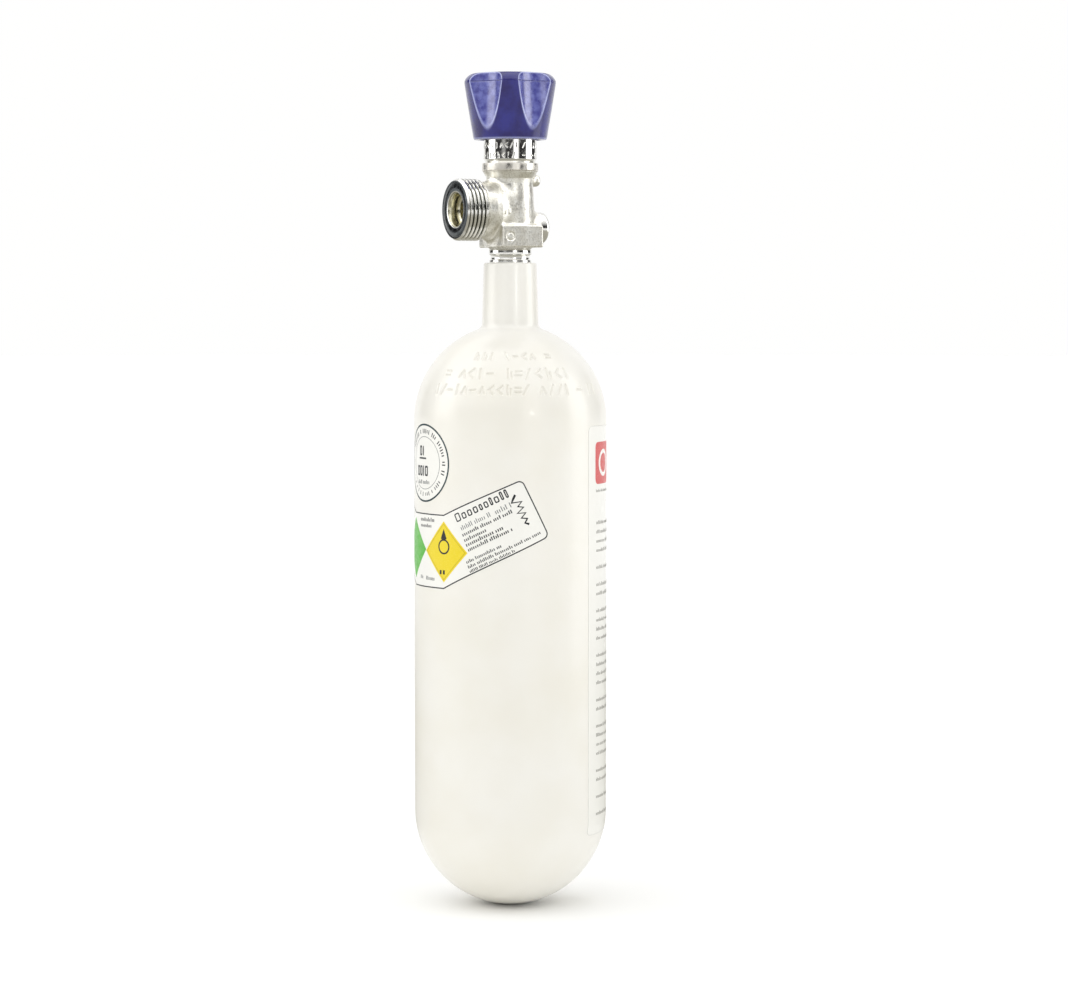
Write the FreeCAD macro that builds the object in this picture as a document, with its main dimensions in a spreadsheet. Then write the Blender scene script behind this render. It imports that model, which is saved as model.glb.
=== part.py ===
import FreeCAD, Part
import math
import os
import sys

import Sketcher
from FreeCAD import Placement, Rotation, Vector

# One-litre medical oxygen cylinder with its shut-off valve and handwheel.
# Frame: origin at the lowest point of the round bottom, +Z up along the bottle's axis, the outlet of the
# valve towards -Y and the safety plug towards +Y. Millimetres.

UP = Vector(0, 0, 1)
OUTLET_WAY = Vector(0, -1, 0)
REAR_WAY = Vector(0, 1, 0)
AXIS_POINT = (0, 0, 0)

doc = FreeCAD.newDocument("oxygen_cylinder")
sheet = doc.addObject("Spreadsheet::Sheet", "Sizes")

SIZES = [
    # the bottle
    ("shell_radius", 41.5, "outside of the barrel and of both domes"),
    ("shell_wall", 3.0, "wall of the barrel"),
    ("crown_wall", 4.0, "wall at the middle of each dome"),
    ("barrel_top", 210.8, "height where the upper dome starts"),
    ("neck_root_radius", 12.15, "neck where it leaves the dome"),
    ("neck_tip_radius", 11.45, "neck at its mouth"),
    ("neck_height", 278.5, "height of the neck's mouth"),
    ("neck_root_blend", 3.0, "blend between dome and neck"),
    ("neck_tip_round", 0.9, "rounding of the mouth's edge"),
    # the taper thread between bottle and valve, as a plain cone
    ("taper_radius", 8.7, "large end of the stem"),
    ("taper_length", 22.0, "length of the stem in the neck"),
    ("taper_slope", 0.06, "loss of radius for each unit of length"),
    ("thread_gap", 0.03, "radial gap of a thread drawn as a plain wall"),
    # the valve casting
    ("flange_radius", 9.15, "flange on the neck and collar above it"),
    ("flange_height", 1.1, "flange"),
    ("groove_radius", 8.6, "groove between flange and collar"),
    ("groove_top", 281.8, "top of the groove"),
    ("collar_top", 284.2, "top of the collar"),
    ("block_bottom", 285.0, "underside of the wrench block"),
    ("block_top", 294.5, "upper side of the wrench block"),
    ("block_half_width", 11.3, "half the distance across the wrench flats"),
    ("block_front", 9.5, "reach of the block towards the outlet"),
    ("block_rear", 10.3, "reach of the block towards the safety plug"),
    ("block_bevel", 0.8, "bevel round the block's upper edge"),
    ("block_corner", 1.0, "rounding of the block's upright edges"),
    ("trunk_radius", 10.5, "trunk of the casting"),
    ("trunk_tip_radius", 9.7, "trunk under the flare"),
    ("flare_bottom", 314.3, "height where the trunk flares out"),
    ("flare_radius", 11.8, "top of the flare"),
    ("ring_bottom", 317.6, "underside of the ring"),
    ("ring_radius", 12.06, "ring"),
    ("ring_top", 321.2, "upper side of the ring"),
    ("branch_radius", 12.0, "outlet branch"),
    ("branch_waist_radius", 7.0, "end of the branch inside the trunk"),
    ("branch_shoulder", 9.0, "distance from the axis where the branch starts to narrow"),
    ("branch_end", 1.0, "distance past the axis where the branch ends"),
    ("rear_boss_radius", 7.3, "boss of the safety plug"),
    ("lug_radius", 2.6, "small lug at the rear under the ring"),
    ("lug_height", 313.9, "height of the lug"),
    ("lug_reach", 14.1, "reach of the lug from the axis"),
    ("punch_radius", 2.1, "round punch mark on the wrench flat"),
    ("punch_depth", 0.3, "depth of the punch mark"),
    ("punch_forward", 5.4, "distance of the punch mark from the axis towards the outlet"),
    ("punch_height", 289.7, "height of the punch mark"),
    # the outlet with its pipe thread of three quarters of an inch
    ("outlet_height", 301.0, "height of the outlet's axis"),
    ("outlet_reach", 26.5, "end face of the outlet from the axis"),
    ("outlet_thread_length", 10.9, "length of the outlet's thread"),
    ("outlet_thread_radius", 13.22, "crests of the outlet's thread"),
    ("outlet_thread_pitch", 1.814, "pitch of the outlet's thread"),
    ("outlet_thread_depth", 1.162, "depth of the outlet's thread"),
    ("outlet_thread_floor", 0.24, "width of the flat at the bottom of the thread's groove"),
    ("thread_flank_slope", 0.5206, "slope of a flank that stands 27.5 degrees off the radius"),
    ("thread_runout", 0.3, "how far the groove's open side clears the crests"),
    ("outlet_bevel", 0.7, "bevel at both ends of the thread"),
    ("outlet_bore_radius", 7.6, "bore for the brass insert"),
    ("outlet_bore_depth", 14.0, "depth of the bore for the brass insert"),
    ("outlet_passage_radius", 2.0, "gas passage from the chamber to the outlet"),
    ("insert_gap", 0.02, "radial gap round a pressed or glued piece"),
    ("insert_recess", 0.6, "depth of the insert's mouth below the end face"),
    ("insert_mouth_radius", 7.0, "socket at the mouth of the insert"),
    ("insert_mouth_depth", 4.0, "depth of that socket"),
    ("insert_inner_radius", 5.6, "insert behind the socket"),
    ("insert_floor", 1.6, "thickness of the insert's inner end"),
    # passages and chamber
    ("inlet_radius", 2.5, "gas passage up the stem"),
    ("inlet_top", 295.2, "top of that passage"),
    ("seat_hole_radius", 1.75, "hole through the seat"),
    ("seat_nose_radius", 3.2, "raised ring of the seat"),
    ("seat_top", 298.0, "height of the seat's face"),
    ("chamber_floor", 297.0, "floor of the chamber round the seat"),
    ("chamber_radius", 6.05, "chamber in which the seat plug is screwed"),
    ("gland_seat", 313.2, "height of the gland's lower end"),
    ("gland_bore_radius", 7.5, "bore for the gland's thread"),
    ("burst_height", 293.5, "height of the safety plug's axis"),
    ("burst_passage_radius", 1.5, "passage to the burst disc"),
    ("burst_bore_radius", 5.0, "bore for the safety plug"),
    ("burst_bore_start", 7.6, "distance of that bore's end from the axis"),
    ("rear_boss_reach", 11.5, "end face of the rear boss from the axis"),
    ("burst_gasket_height", 0.6, "gasket under the burst disc"),
    ("burst_disc_height", 0.3, "burst disc"),
    ("plug_head_radius", 6.8, "head of the safety plug"),
    ("plug_reach", 16.1, "end face of the safety plug from the axis"),
    ("plug_round", 1.0, "rounding of the plug's head"),
    ("plug_socket_across", 5.0, "hexagon socket across its flats"),
    ("plug_socket_depth", 3.0, "depth of the hexagon socket"),
    ("plug_vent_radius", 1.2, "vent through the safety plug"),
    ("dip_tube_radius", 3.0, "outside of the dip tube"),
    ("dip_tube_inner", 2.0, "inside of the dip tube"),
    ("dip_tube_top", 265.0, "upper end of the dip tube"),
    ("dip_tube_bottom", 215.0, "lower end of the dip tube"),
    # the moving parts of the valve
    ("pad_radius", 4.0, "soft seat disc"),
    ("pad_height", 2.5, "height of the soft seat disc"),
    ("pad_gap", 0.05, "gap of the seat disc in its cup"),
    ("cup_radius", 4.8, "lower end of the seat plug"),
    ("cup_lip", 0.6, "height of the cup's lip above the seat"),
    ("plug_thread_radius", 6.0, "thread of the seat plug"),
    ("plug_thread_start", 303.5, "lower end of that thread"),
    ("plug_top", 308.4, "upper end of the seat plug"),
    ("slot_floor", 303.2, "floor of the slot for the tongue"),
    ("slot_width", 3.1, "width of the slot"),
    ("slot_length", 9.2, "length of the slot"),
    ("tongue_width", 3.0, "tongue of the spindle"),
    ("tongue_length", 9.0, "length of the tongue across"),
    ("tongue_bottom", 305.3, "lower end of the tongue"),
    ("spindle_flange_radius", 5.8, "flange of the spindle"),
    ("spindle_flange_bottom", 310.8, "lower side of the flange"),
    ("spindle_flange_top", 312.6, "upper side of the flange"),
    ("spindle_radius", 4.0, "shaft of the spindle"),
    ("gland_inner_radius", 4.05, "gland's bore for the spindle"),
    ("ring_groove_radius", 2.75, "floor of a seal groove in the spindle"),
    ("ring_groove_width", 1.6, "width of a seal groove"),
    ("ring_cord_radius", 0.62, "cord of a spindle seal"),
    ("ring_centre_radius", 3.4, "centre line of a spindle seal"),
    ("ring_low_height", 316.4, "height of the lower spindle seal"),
    ("ring_spacing", 3.6, "distance between the spindle seals"),
    ("gland_ring_groove_radius", 6.32, "floor of the gland's seal groove"),
    ("gland_ring_height", 315.4, "height of the gland's seal"),
    ("gland_ring_cord_radius", 0.56, "cord of the gland's seal"),
    ("gland_collar_radius", 11.4, "polished collar of the gland"),
    ("gland_collar_top", 334.0, "upper side of the collar"),
    ("gland_collar_bevel", 0.6, "bevel of the collar"),
    ("gland_hex_across", 17.0, "hexagon of the gland across its flats"),
    ("gland_top", 337.0, "upper end of the gland"),
    ("square_across", 5.6, "square end of the spindle across its flats"),
    ("square_bottom", 340.0, "lower end of the square"),
    ("square_top", 349.9, "upper end of the square"),
    ("square_gap", 0.04, "gap of the square in the brass bush"),
    ("stud_radius", 2.5, "threaded end of the spindle"),
    ("stud_top", 356.3, "top of the spindle"),
    ("spring_radius", 5.3, "mean radius of the spring"),
    ("spring_wire_radius", 0.45, "wire of the spring"),
    ("spring_turns", 2.5, "turns of the spring"),
    # the handwheel
    ("wheel_bottom", 331.2, "lower rim of the handwheel"),
    ("wheel_rim_radius", 15.7, "outside of the lower rim"),
    ("wheel_brow", 355.7, "height of the widest point"),
    ("wheel_brow_radius", 19.9, "widest radius"),
    ("wheel_top", 360.1, "top of the crown"),
    ("crown_turn_radius", 16.0, "radius where the crown's edge ends"),
    ("crown_turn_height", 359.35, "height where the crown's edge ends"),
    ("crown_edge_round", 5.2, "rounding of the crown's edge"),
    ("wheel_mouth_radius", 13.2, "mouth of the hollow underneath"),
    ("wheel_mouth_height", 4.0, "height of that mouth"),
    ("wheel_hollow_radius", 12.0, "hollow above the mouth"),
    ("wheel_hollow_top", 356.0, "top of the hollow"),
    ("wheel_hub_radius", 9.8, "hub"),
    ("wheel_hub_bottom", 341.0, "lower end of the hub"),
    ("wheel_bush_radius", 6.0, "brass bush in the hub"),
    ("wheel_web_top", 350.0, "upper side of the web, where the washer lies"),
    ("wheel_well_radius", 8.0, "well for the nut"),
    ("crown_skin", 1.0, "crown over the well before the well is bored through"),
    ("rib_width", 1.8, "ribs between hub and skirt"),
    ("rib_root", 1.0, "how far a rib runs into the hub, the skirt and the crown"),
    ("flute_count", 5, "flutes round the handwheel"),
    ("flute_phase", 8.8, "angle of the first flute from +X"),
    ("flute_radius", 14.2, "radius of a flute's hollow"),
    ("flute_foot_radius", 16.47, "distance of a flute's floor from the axis at its foot"),
    ("flute_foot_height", 335.7, "height of a flute's foot"),
    ("flute_brow_radius", 15.1, "distance of a flute's floor from the axis at the brow"),
    ("flute_crown_radius", 14.7, "distance of a flute's floor from the axis at the top"),
    ("washer_height", 1.0, "washer under the nut"),
    ("washer_radius", 7.0, "outside of that washer"),
    ("nut_across", 8.0, "nut across its flats"),
    ("nut_height", 4.0, "height of the nut"),
    ("cap_bottom", 357.2, "underside of the cap over the nut"),
    ("cap_gap", 0.04, "gap round that cap"),
    # the printed labels, thin skins on the barrel
    ("label_thickness", 0.08, "thickness of a label"),
    ("label_gap", 0.01, "film of glue under a label"),
    ("test_label_radius", 16.8, "round test label"),
    ("test_label_shift", 0.9, "its centre from the outlet's side, round the barrel"),
    ("test_label_height", 193.2, "height of its centre"),
    ("data_label_shift", 2.2, "middle of the data label from the outlet's side, round the barrel"),
    ("data_label_fold", 12.3, "distance from the middle to where a wing starts"),
    ("data_label_bottom", 140.0, "lower edge of the data label's middle part"),
    ("data_label_top", 171.8, "upper edge of the data label's middle part"),
    ("data_wing_tip_out", 48.3, "upper tip of a wing from the label's middle"),
    ("data_wing_tip_height", 187.5, "height of that tip"),
    ("data_wing_end_out", 60.4, "outer end of a wing from the label's middle"),
    ("data_wing_end_height", 163.0, "height of that outer end"),
    ("data_label_corner", 2.6, "rounding of the wings' corners"),
    ("instruction_half_width", 46.4, "half the width of the instruction label, round the barrel"),
    ("instruction_bottom", 33.0, "lower edge of the instruction label"),
    ("instruction_top", 209.0, "upper edge of the instruction label"),
]


class Size:
    """A number together with the sheet's expression that gives it."""

    def __init__(self, value, text):
        self.value = float(value)
        self.text = text

    def joined(self, other, sign, value):
        return Size(value, "(%s %s %s)" % (self.text, sign, sized(other).text))

    def __add__(self, other):
        return self.joined(other, "+", self.value + float(other))

    def __radd__(self, other):
        return sized(other) + self

    def __sub__(self, other):
        return self.joined(other, "-", self.value - float(other))

    def __rsub__(self, other):
        return sized(other) - self

    def __mul__(self, other):
        return self.joined(other, "*", self.value * float(other))

    def __rmul__(self, other):
        return sized(other) * self

    def __truediv__(self, other):
        return self.joined(other, "/", self.value / float(other))

    def __neg__(self):
        return sized(0) - self

    def __float__(self):
        return self.value


def sized(number):
    return number if isinstance(number, Size) else Size(number, repr(float(number)))


def root(size):
    return Size(math.sqrt(size.value), "sqrt(%s)" % size.text)


class Sizes:
    """Each alias of the sheet as an attribute."""


size = Sizes()
for row, (alias, number, meaning) in enumerate(SIZES, start=1):
    sheet.set("A%d" % row, meaning)
    sheet.set("B%d" % row, str(number))
    sheet.setAlias("B%d" % row, alias)
    setattr(size, alias, Size(number, "Sizes." + alias))
doc.recompute()


# ---- building blocks ----

def bind(item, prop, value):
    """Drive a property from the sheet, or set it when the value is a plain number."""
    if isinstance(value, Size):
        item.setExpression(prop, value.text)


def place(item, at, way=UP):
    """Turn an object's own +Z to a direction and move its origin to a point."""
    item.Placement = Placement(Vector(*[float(value) for value in at]), Rotation(UP, way))
    for letter, value in zip("xyz", at):
        bind(item, "Placement.Base." + letter, value)


def primitive(kind, name, at, way, **properties):
    item = doc.addObject(kind, name)
    for prop, value in properties.items():
        setattr(item, prop, float(value))
        bind(item, prop, value)
    place(item, at, way)
    return item


def rod(name, radius, length, at=AXIS_POINT, way=UP):
    return primitive("Part::Cylinder", name, at, way, Radius=radius, Height=length)


def cone(name, start_radius, end_radius, length, at=AXIS_POINT, way=UP):
    return primitive("Part::Cone", name, at, way, Radius1=start_radius, Radius2=end_radius, Height=length)


def box(name, low, size_x, size_y, size_z):
    return primitive("Part::Box", name, low, UP, Length=size_x, Width=size_y, Height=size_z)


def hexagon(name, across, height, at, way=UP):
    """A hexagonal prism, given across its flats."""
    flat = doc.addObject("Part::RegularPolygon", name + "_outline")
    flat.Polygon = 6
    flat.Circumradius = float(across) / math.sqrt(3)
    bind(flat, "Circumradius", across / math.sqrt(3))
    prism = doc.addObject("Part::Extrusion", name)
    prism.Base = flat
    prism.DirMode = "Custom"
    prism.Dir = UP
    prism.LengthFwd = float(height)
    bind(prism, "LengthFwd", sized(height))
    prism.Solid = True
    place(prism, at, way)
    return prism


def fuse(name, *items):
    joined = doc.addObject("Part::MultiFuse", name)
    joined.Shapes = list(items)
    joined.Refine = True
    return joined


def cut(name, base, *tools):
    result = doc.addObject("Part::Cut", name)
    result.Base = base
    result.Tool = tools[0] if len(tools) == 1 else fuse(name + "_tools", *tools)
    return result


def ring_copies(name, item, count, first_angle):
    """Copies of an object spaced evenly round the bottle's axis, as one object."""
    array = doc.addObject("Part::MultiFuse", name)
    copies = []
    for index in range(int(float(count))):
        copy = doc.addObject("Part::Compound", "%s_%d" % (name, index + 1))
        copy.Links = [item]
        angle = float(first_angle) + index * 360.0 / float(count)
        copy.Placement = Placement(Vector(), Rotation(UP, angle))
        copies.append(copy)
    array.Shapes = copies
    return array


def edges_where(shape, test):
    return [index for index, edge in enumerate(shape.Edges, start=1) if test(edge)]


def dress(kind, name, base, radius, test):
    """Round or bevel the edges of a Part object that pass a test."""
    doc.recompute()
    chosen = edges_where(base.Shape, test)
    result = doc.addObject(kind, name)
    result.Base = base
    result.Edges = [(index, float(radius), float(radius)) for index in chosen]
    return result


def upright(edge):
    low, high = edge.Vertexes[0].Point, edge.Vertexes[-1].Point
    return abs(low.x - high.x) + abs(low.y - high.y) < 1e-6 < abs(low.z - high.z)


def level_at(height):
    return lambda edge: abs(edge.BoundBox.ZMin - height) + abs(edge.BoundBox.ZMax - height) < 1e-6


# ---- turned pieces: a sketch of half the section, turned round its own upright axis ----

def arc_centre(start, end, radius, side):
    """Centre of an arc: on the turning axis when radius is None, else on one side of the chord."""
    (x0, y0), (x1, y1) = [(float(x), float(y)) for x, y in (start, end)]
    if radius is None:
        return 0.0, (x1 * x1 - x0 * x0 + y1 * y1 - y0 * y0) / (2.0 * (y1 - y0))
    half = math.hypot(x1 - x0, y1 - y0) / 2.0
    rise = side * math.sqrt(float(radius) ** 2 - half * half) / (2.0 * half)
    return (x0 + x1) / 2.0 - (y1 - y0) * rise, (y0 + y1) / 2.0 + (x1 - x0) * rise


class Bend:
    """Marks the way to the next point as an arc instead of a straight line."""

    def __init__(self, radius=None, side=1):
        self.radius = radius
        self.side = side


def draw_outline(sketch, steps):
    """Draw a closed outline of points, with a Bend before each point that an arc leads to."""
    points, bends = [], []
    bend = None
    for step in steps:
        if isinstance(step, Bend):
            bend = step
        else:
            points.append(step)
            bends.append(bend)
            bend = None
    bends[0] = bend
    rules, bound = [], []

    def rule(value, *words):
        bound.append((len(rules), value))
        rules.append(Sketcher.Constraint(*words, float(value)))

    ends = []
    for index, start in enumerate(points):
        following = (index + 1) % len(points)
        end, bend = points[following], bends[following]
        first = Vector(float(start[0]), float(start[1]), 0)
        last = Vector(float(end[0]), float(end[1]), 0)
        if bend is None:
            number = sketch.addGeometry(Part.LineSegment(first, last), False)
            ends.append((number, 1, 2))
            continue
        centre = Vector(*arc_centre(start, end, bend.radius, bend.side), 0)
        angles = [math.atan2(point.y - centre.y, point.x - centre.x) for point in (first, last)]
        anticlockwise = (angles[1] - angles[0]) % (2 * math.pi) < math.pi
        if not anticlockwise:
            angles.reverse()
        circle = Part.Circle(centre, UP, (first - centre).Length)
        number = sketch.addGeometry(Part.ArcOfCircle(circle, *angles), False)
        ends.append((number, 1, 2) if anticlockwise else (number, 2, 1))
        if bend.radius is None:
            rules.append(Sketcher.Constraint("PointOnObject", number, 3, -2))
        else:
            rule(bend.radius, "Radius", number)
    for index, (number, head, tail) in enumerate(ends):
        next_number, next_head, _ = ends[(index + 1) % len(ends)]
        rules.append(Sketcher.Constraint("Coincident", number, tail, next_number, next_head))
        across, along = points[index]
        if float(across) == 0.0:
            rules.append(Sketcher.Constraint("PointOnObject", number, head, -2))
        else:
            rule(across, "DistanceX", -1, 1, number, head)
        if float(along) == 0.0:
            rules.append(Sketcher.Constraint("PointOnObject", number, head, -1))
        else:
            rule(along, "DistanceY", -1, 1, number, head)
    sketch.addConstraint(rules)
    for index, value in bound:
        bind(sketch, "Constraints[%d]" % index, value)


def base_plane(body, role):
    return next(item for item in body.Origin.OriginFeatures if item.Role == role)


def turned(name, steps, at=AXIS_POINT, way=UP, angle=360):
    """A body turned from an outline of (distance from the axis, height) points."""
    body = doc.addObject("PartDesign::Body", name)
    sketch = body.newObject("Sketcher::SketchObject", name + "_outline")
    sketch.AttachmentSupport = (base_plane(body, "XZ_Plane"), [""])
    sketch.MapMode = "FlatFace"
    draw_outline(sketch, steps)
    turn = body.newObject("PartDesign::Revolution", name + "_turn")
    turn.Profile = sketch
    turn.ReferenceAxis = (sketch, ["V_Axis"])
    turn.Angle = float(angle)
    turn.Midplane = float(angle) < 360
    bind(turn, "Angle", angle)
    place(body, at, way)
    return body


def washer(name, inner, outer, height, at=AXIS_POINT, way=UP):
    return turned(name, [(inner, 0), (outer, 0), (outer, height), (inner, height)], at, way)


def seal_ring(name, centre_radius, cord_radius, at):
    return primitive("Part::Torus", name, at, UP, Radius1=centre_radius, Radius2=cord_radius)


nodes = {}


def node(name, item):
    """Name an object as one of the part's sub-parts."""
    item.Label = name
    nodes[name] = item
    return item


# ---- the steel bottle ----

def build_shell():
    inner_radius = size.shell_radius - size.shell_wall
    inner_low = size.crown_wall + inner_radius
    inner_high = size.barrel_top + size.shell_radius - inner_low
    neck_root = size.barrel_top + root(size.shell_radius * size.shell_radius
                                       - size.neck_root_radius * size.neck_root_radius)
    mouth_radius = size.taper_radius + size.thread_gap
    taper_end = size.neck_height - size.taper_length
    bore_radius = mouth_radius - size.taper_length * size.taper_slope
    bore_end = inner_high + root(inner_radius * inner_radius - bore_radius * bore_radius)
    body = turned("cylinder_shell_body", [
        (0, 0), Bend(), (size.shell_radius, size.shell_radius), (size.shell_radius, size.barrel_top),
        Bend(), (size.neck_root_radius, neck_root),
        (size.neck_tip_radius, size.neck_height - size.neck_tip_round),
        Bend(size.neck_tip_round), (size.neck_tip_radius - size.neck_tip_round, size.neck_height),
        (mouth_radius, size.neck_height), (bore_radius, taper_end), (bore_radius, bore_end),
        Bend(), (inner_radius, inner_high), (inner_radius, inner_low),
        Bend(), (0, size.crown_wall)])
    doc.recompute()
    sharp = body.Tip
    chosen = edges_where(sharp.Shape, level_at(float(neck_root)))
    blend = body.newObject("PartDesign::Fillet", "cylinder_shell_blend")
    blend.Base = (sharp, ["Edge%d" % index for index in chosen])
    blend.Radius = float(size.neck_root_blend)
    bind(blend, "Radius", size.neck_root_blend)
    body.Tip = blend
    node("cylinder_shell", body)


# ---- the valve casting ----

def outlet_point(distance, height=size.outlet_height):
    """A point on the outlet's axis at a distance from the bottle's axis."""
    return (0, -sized(distance), height)


def build_outlet_thread():
    """The groove of the outlet's thread: a V swept along a helix, standing along +Z."""
    pitch, depth = size.outlet_thread_pitch, size.outlet_thread_depth
    crest = size.outlet_thread_radius
    helix = doc.addObject("Part::Helix", "outlet_thread_helix")
    helix.Pitch, helix.Radius = float(pitch), float(crest)
    helix.Height = float(size.outlet_thread_length + 2 * pitch)
    helix.SegmentLength = 1
    bind(helix, "Pitch", pitch)
    bind(helix, "Radius", crest)
    bind(helix, "Height", size.outlet_thread_length + 2 * pitch)
    profile = doc.addObject("Sketcher::SketchObject", "outlet_thread_profile")
    profile.Placement = Placement(Vector(), Rotation(Vector(1, 0, 0), 90))
    outer, inner = crest + size.thread_runout, crest - depth
    half_inner = size.outlet_thread_floor / 2
    half_outer = half_inner + (depth + size.thread_runout) * size.thread_flank_slope
    # local coordinates: across from the axis, along the axis; the V sits one pitch up the sketch
    draw_outline(profile, [(outer, pitch - half_outer), (outer, pitch + half_outer),
                           (inner, pitch + half_inner), (inner, pitch - half_inner)])
    sweep = doc.addObject("Part::Sweep", "outlet_thread_groove")
    doc.recompute()
    sweep.Sections = [profile]
    sweep.Spine = (helix, ["Edge%d" % (index + 1) for index in range(len(helix.Shape.Edges))])
    sweep.Solid = True
    sweep.Frenet = True
    return sweep


def build_valve_body():
    stem_tip = size.taper_radius - size.taper_length * size.taper_slope
    stem = cone("valve_stem", stem_tip, size.taper_radius, size.taper_length,
                (0, 0, size.neck_height - size.taper_length))
    flange = rod("valve_flange", size.flange_radius, size.flange_height, (0, 0, size.neck_height))
    groove = rod("valve_groove", size.groove_radius, size.groove_top - size.neck_height,
                 (0, 0, size.neck_height))
    collar = rod("valve_collar", size.flange_radius, size.collar_top - size.groove_top,
                 (0, 0, size.groove_top))
    root_cone = cone("valve_root", size.flange_radius, size.trunk_radius,
                     size.block_bottom - size.collar_top, (0, 0, size.collar_top))
    plain_block = box("valve_block_plain", (-size.block_half_width, -size.block_front, size.block_bottom),
                      2 * size.block_half_width, size.block_front + size.block_rear,
                      size.block_top - size.block_bottom)
    round_block = dress("Part::Fillet", "valve_block_rounded", plain_block, size.block_corner, upright)
    block = dress("Part::Chamfer", "valve_block", round_block, size.block_bevel,
                  level_at(float(size.block_top)))
    trunk = rod("valve_trunk", size.trunk_radius, size.outlet_height - size.block_bottom,
                (0, 0, size.block_bottom))
    upper_trunk = cone("valve_upper_trunk", size.trunk_radius, size.trunk_tip_radius,
                       size.flare_bottom - size.outlet_height, (0, 0, size.outlet_height))
    flare = cone("valve_flare", size.trunk_tip_radius, size.flare_radius,
                 size.ring_bottom - size.flare_bottom, (0, 0, size.flare_bottom))
    ring = rod("valve_ring", size.ring_radius, size.ring_top - size.ring_bottom, (0, 0, size.ring_bottom))
    thread_start = size.outlet_reach - size.outlet_thread_length
    branch = rod("valve_branch", size.branch_radius, thread_start - size.branch_shoulder,
                 outlet_point(size.branch_shoulder), OUTLET_WAY)
    branch_cone = cone("valve_branch_cone", size.branch_waist_radius, size.branch_radius,
                       size.branch_shoulder + size.branch_end, outlet_point(-size.branch_end), OUTLET_WAY)
    boss = rod("valve_rear_boss", size.rear_boss_radius, size.rear_boss_reach,
               (0, 0, size.burst_height), REAR_WAY)
    lug_shaft = rod("valve_lug_shaft", size.lug_radius, size.lug_reach - size.lug_radius,
                    (0, 0, size.lug_height), REAR_WAY)
    lug_tip = primitive("Part::Sphere", "valve_lug_tip", (0, size.lug_reach - size.lug_radius,
                        size.lug_height), UP, Radius=size.lug_radius)
    bevel = size.outlet_bevel
    blank = turned("valve_thread_blank", [
        (0, 0), (size.outlet_thread_radius - bevel, 0), (size.outlet_thread_radius, bevel),
        (size.outlet_thread_radius, size.outlet_thread_length - bevel),
        (size.outlet_thread_radius - bevel, size.outlet_thread_length), (0, size.outlet_thread_length)],
        outlet_point(thread_start), OUTLET_WAY)
    thread_groove = build_outlet_thread()
    place(thread_groove, outlet_point(thread_start - 2 * size.outlet_thread_pitch), OUTLET_WAY)
    threaded = cut("valve_thread", blank, thread_groove)
    casting = fuse("valve_casting", stem, flange, groove, collar, root_cone, block, trunk, upper_trunk,
                   flare, ring, branch, branch_cone, boss, lug_shaft, lug_tip)
    whole = fuse("valve_outside", casting, threaded)

    chamber = rod("valve_chamber", size.chamber_radius, size.ring_top - size.chamber_floor,
                  (0, 0, size.chamber_floor))
    nose = rod("valve_seat_nose", size.seat_nose_radius, size.seat_top - size.chamber_floor,
               (0, 0, size.chamber_floor))
    seat_hole = rod("valve_seat_hole", size.seat_hole_radius, size.seat_top - size.inlet_top,
                    (0, 0, size.inlet_top))
    stem_bottom = size.neck_height - size.taper_length
    inlet = rod("valve_inlet", size.inlet_radius, size.inlet_top - stem_bottom, (0, 0, stem_bottom))
    tube_pocket = rod("valve_tube_pocket", size.dip_tube_radius + size.insert_gap,
                      size.dip_tube_top - stem_bottom, (0, 0, stem_bottom))
    gland_bore = rod("valve_gland_bore", size.gland_bore_radius, size.ring_top - size.gland_seat,
                     (0, 0, size.gland_seat))
    outlet_bore = rod("valve_outlet_bore", size.outlet_bore_radius, size.outlet_bore_depth,
                      outlet_point(size.outlet_reach - size.outlet_bore_depth), OUTLET_WAY)
    outlet_passage = rod("valve_outlet_passage", size.outlet_passage_radius, size.outlet_reach,
                         outlet_point(0), OUTLET_WAY)
    burst_passage = rod("valve_burst_passage", size.burst_passage_radius, size.rear_boss_reach,
                        (0, 0, size.burst_height), REAR_WAY)
    burst_bore = rod("valve_burst_bore", size.burst_bore_radius,
                     size.rear_boss_reach - size.burst_bore_start,
                     (0, size.burst_bore_start, size.burst_height), REAR_WAY)
    punch = rod("valve_punch", size.punch_radius, size.punch_depth,
                (size.block_half_width - size.punch_depth, -size.punch_forward, size.punch_height),
                Vector(1, 0, 0))
    punch_dot = rod("valve_punch_dot", size.punch_radius / 2, size.punch_depth,
                    (size.block_half_width - size.punch_depth, -size.punch_forward, size.punch_height),
                    Vector(1, 0, 0))
    punch_ring = cut("valve_punch_ring", punch, punch_dot)
    round_chamber = cut("valve_chamber_space", chamber, nose)
    body = cut("valve_body_solid", whole, round_chamber, seat_hole, inlet, tube_pocket, gland_bore,
               outlet_bore, outlet_passage, burst_passage, burst_bore, punch_ring)
    node("valve_body", body)


def build_outlet_insert():
    """Brass sleeve: a socket at the mouth, a narrower part behind it and a floor with the gas hole."""
    outer = size.outlet_bore_radius - size.insert_gap
    length = size.outlet_bore_depth - size.insert_recess
    step = length - size.insert_mouth_depth
    node("outlet_insert", turned("outlet_insert_body", [
        (size.outlet_passage_radius, 0), (outer, 0), (outer, length), (size.insert_mouth_radius, length),
        (size.insert_mouth_radius, step), (size.insert_inner_radius, step),
        (size.insert_inner_radius, size.insert_floor), (size.outlet_passage_radius, size.insert_floor)],
        outlet_point(size.outlet_reach - size.outlet_bore_depth), OUTLET_WAY))


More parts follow.
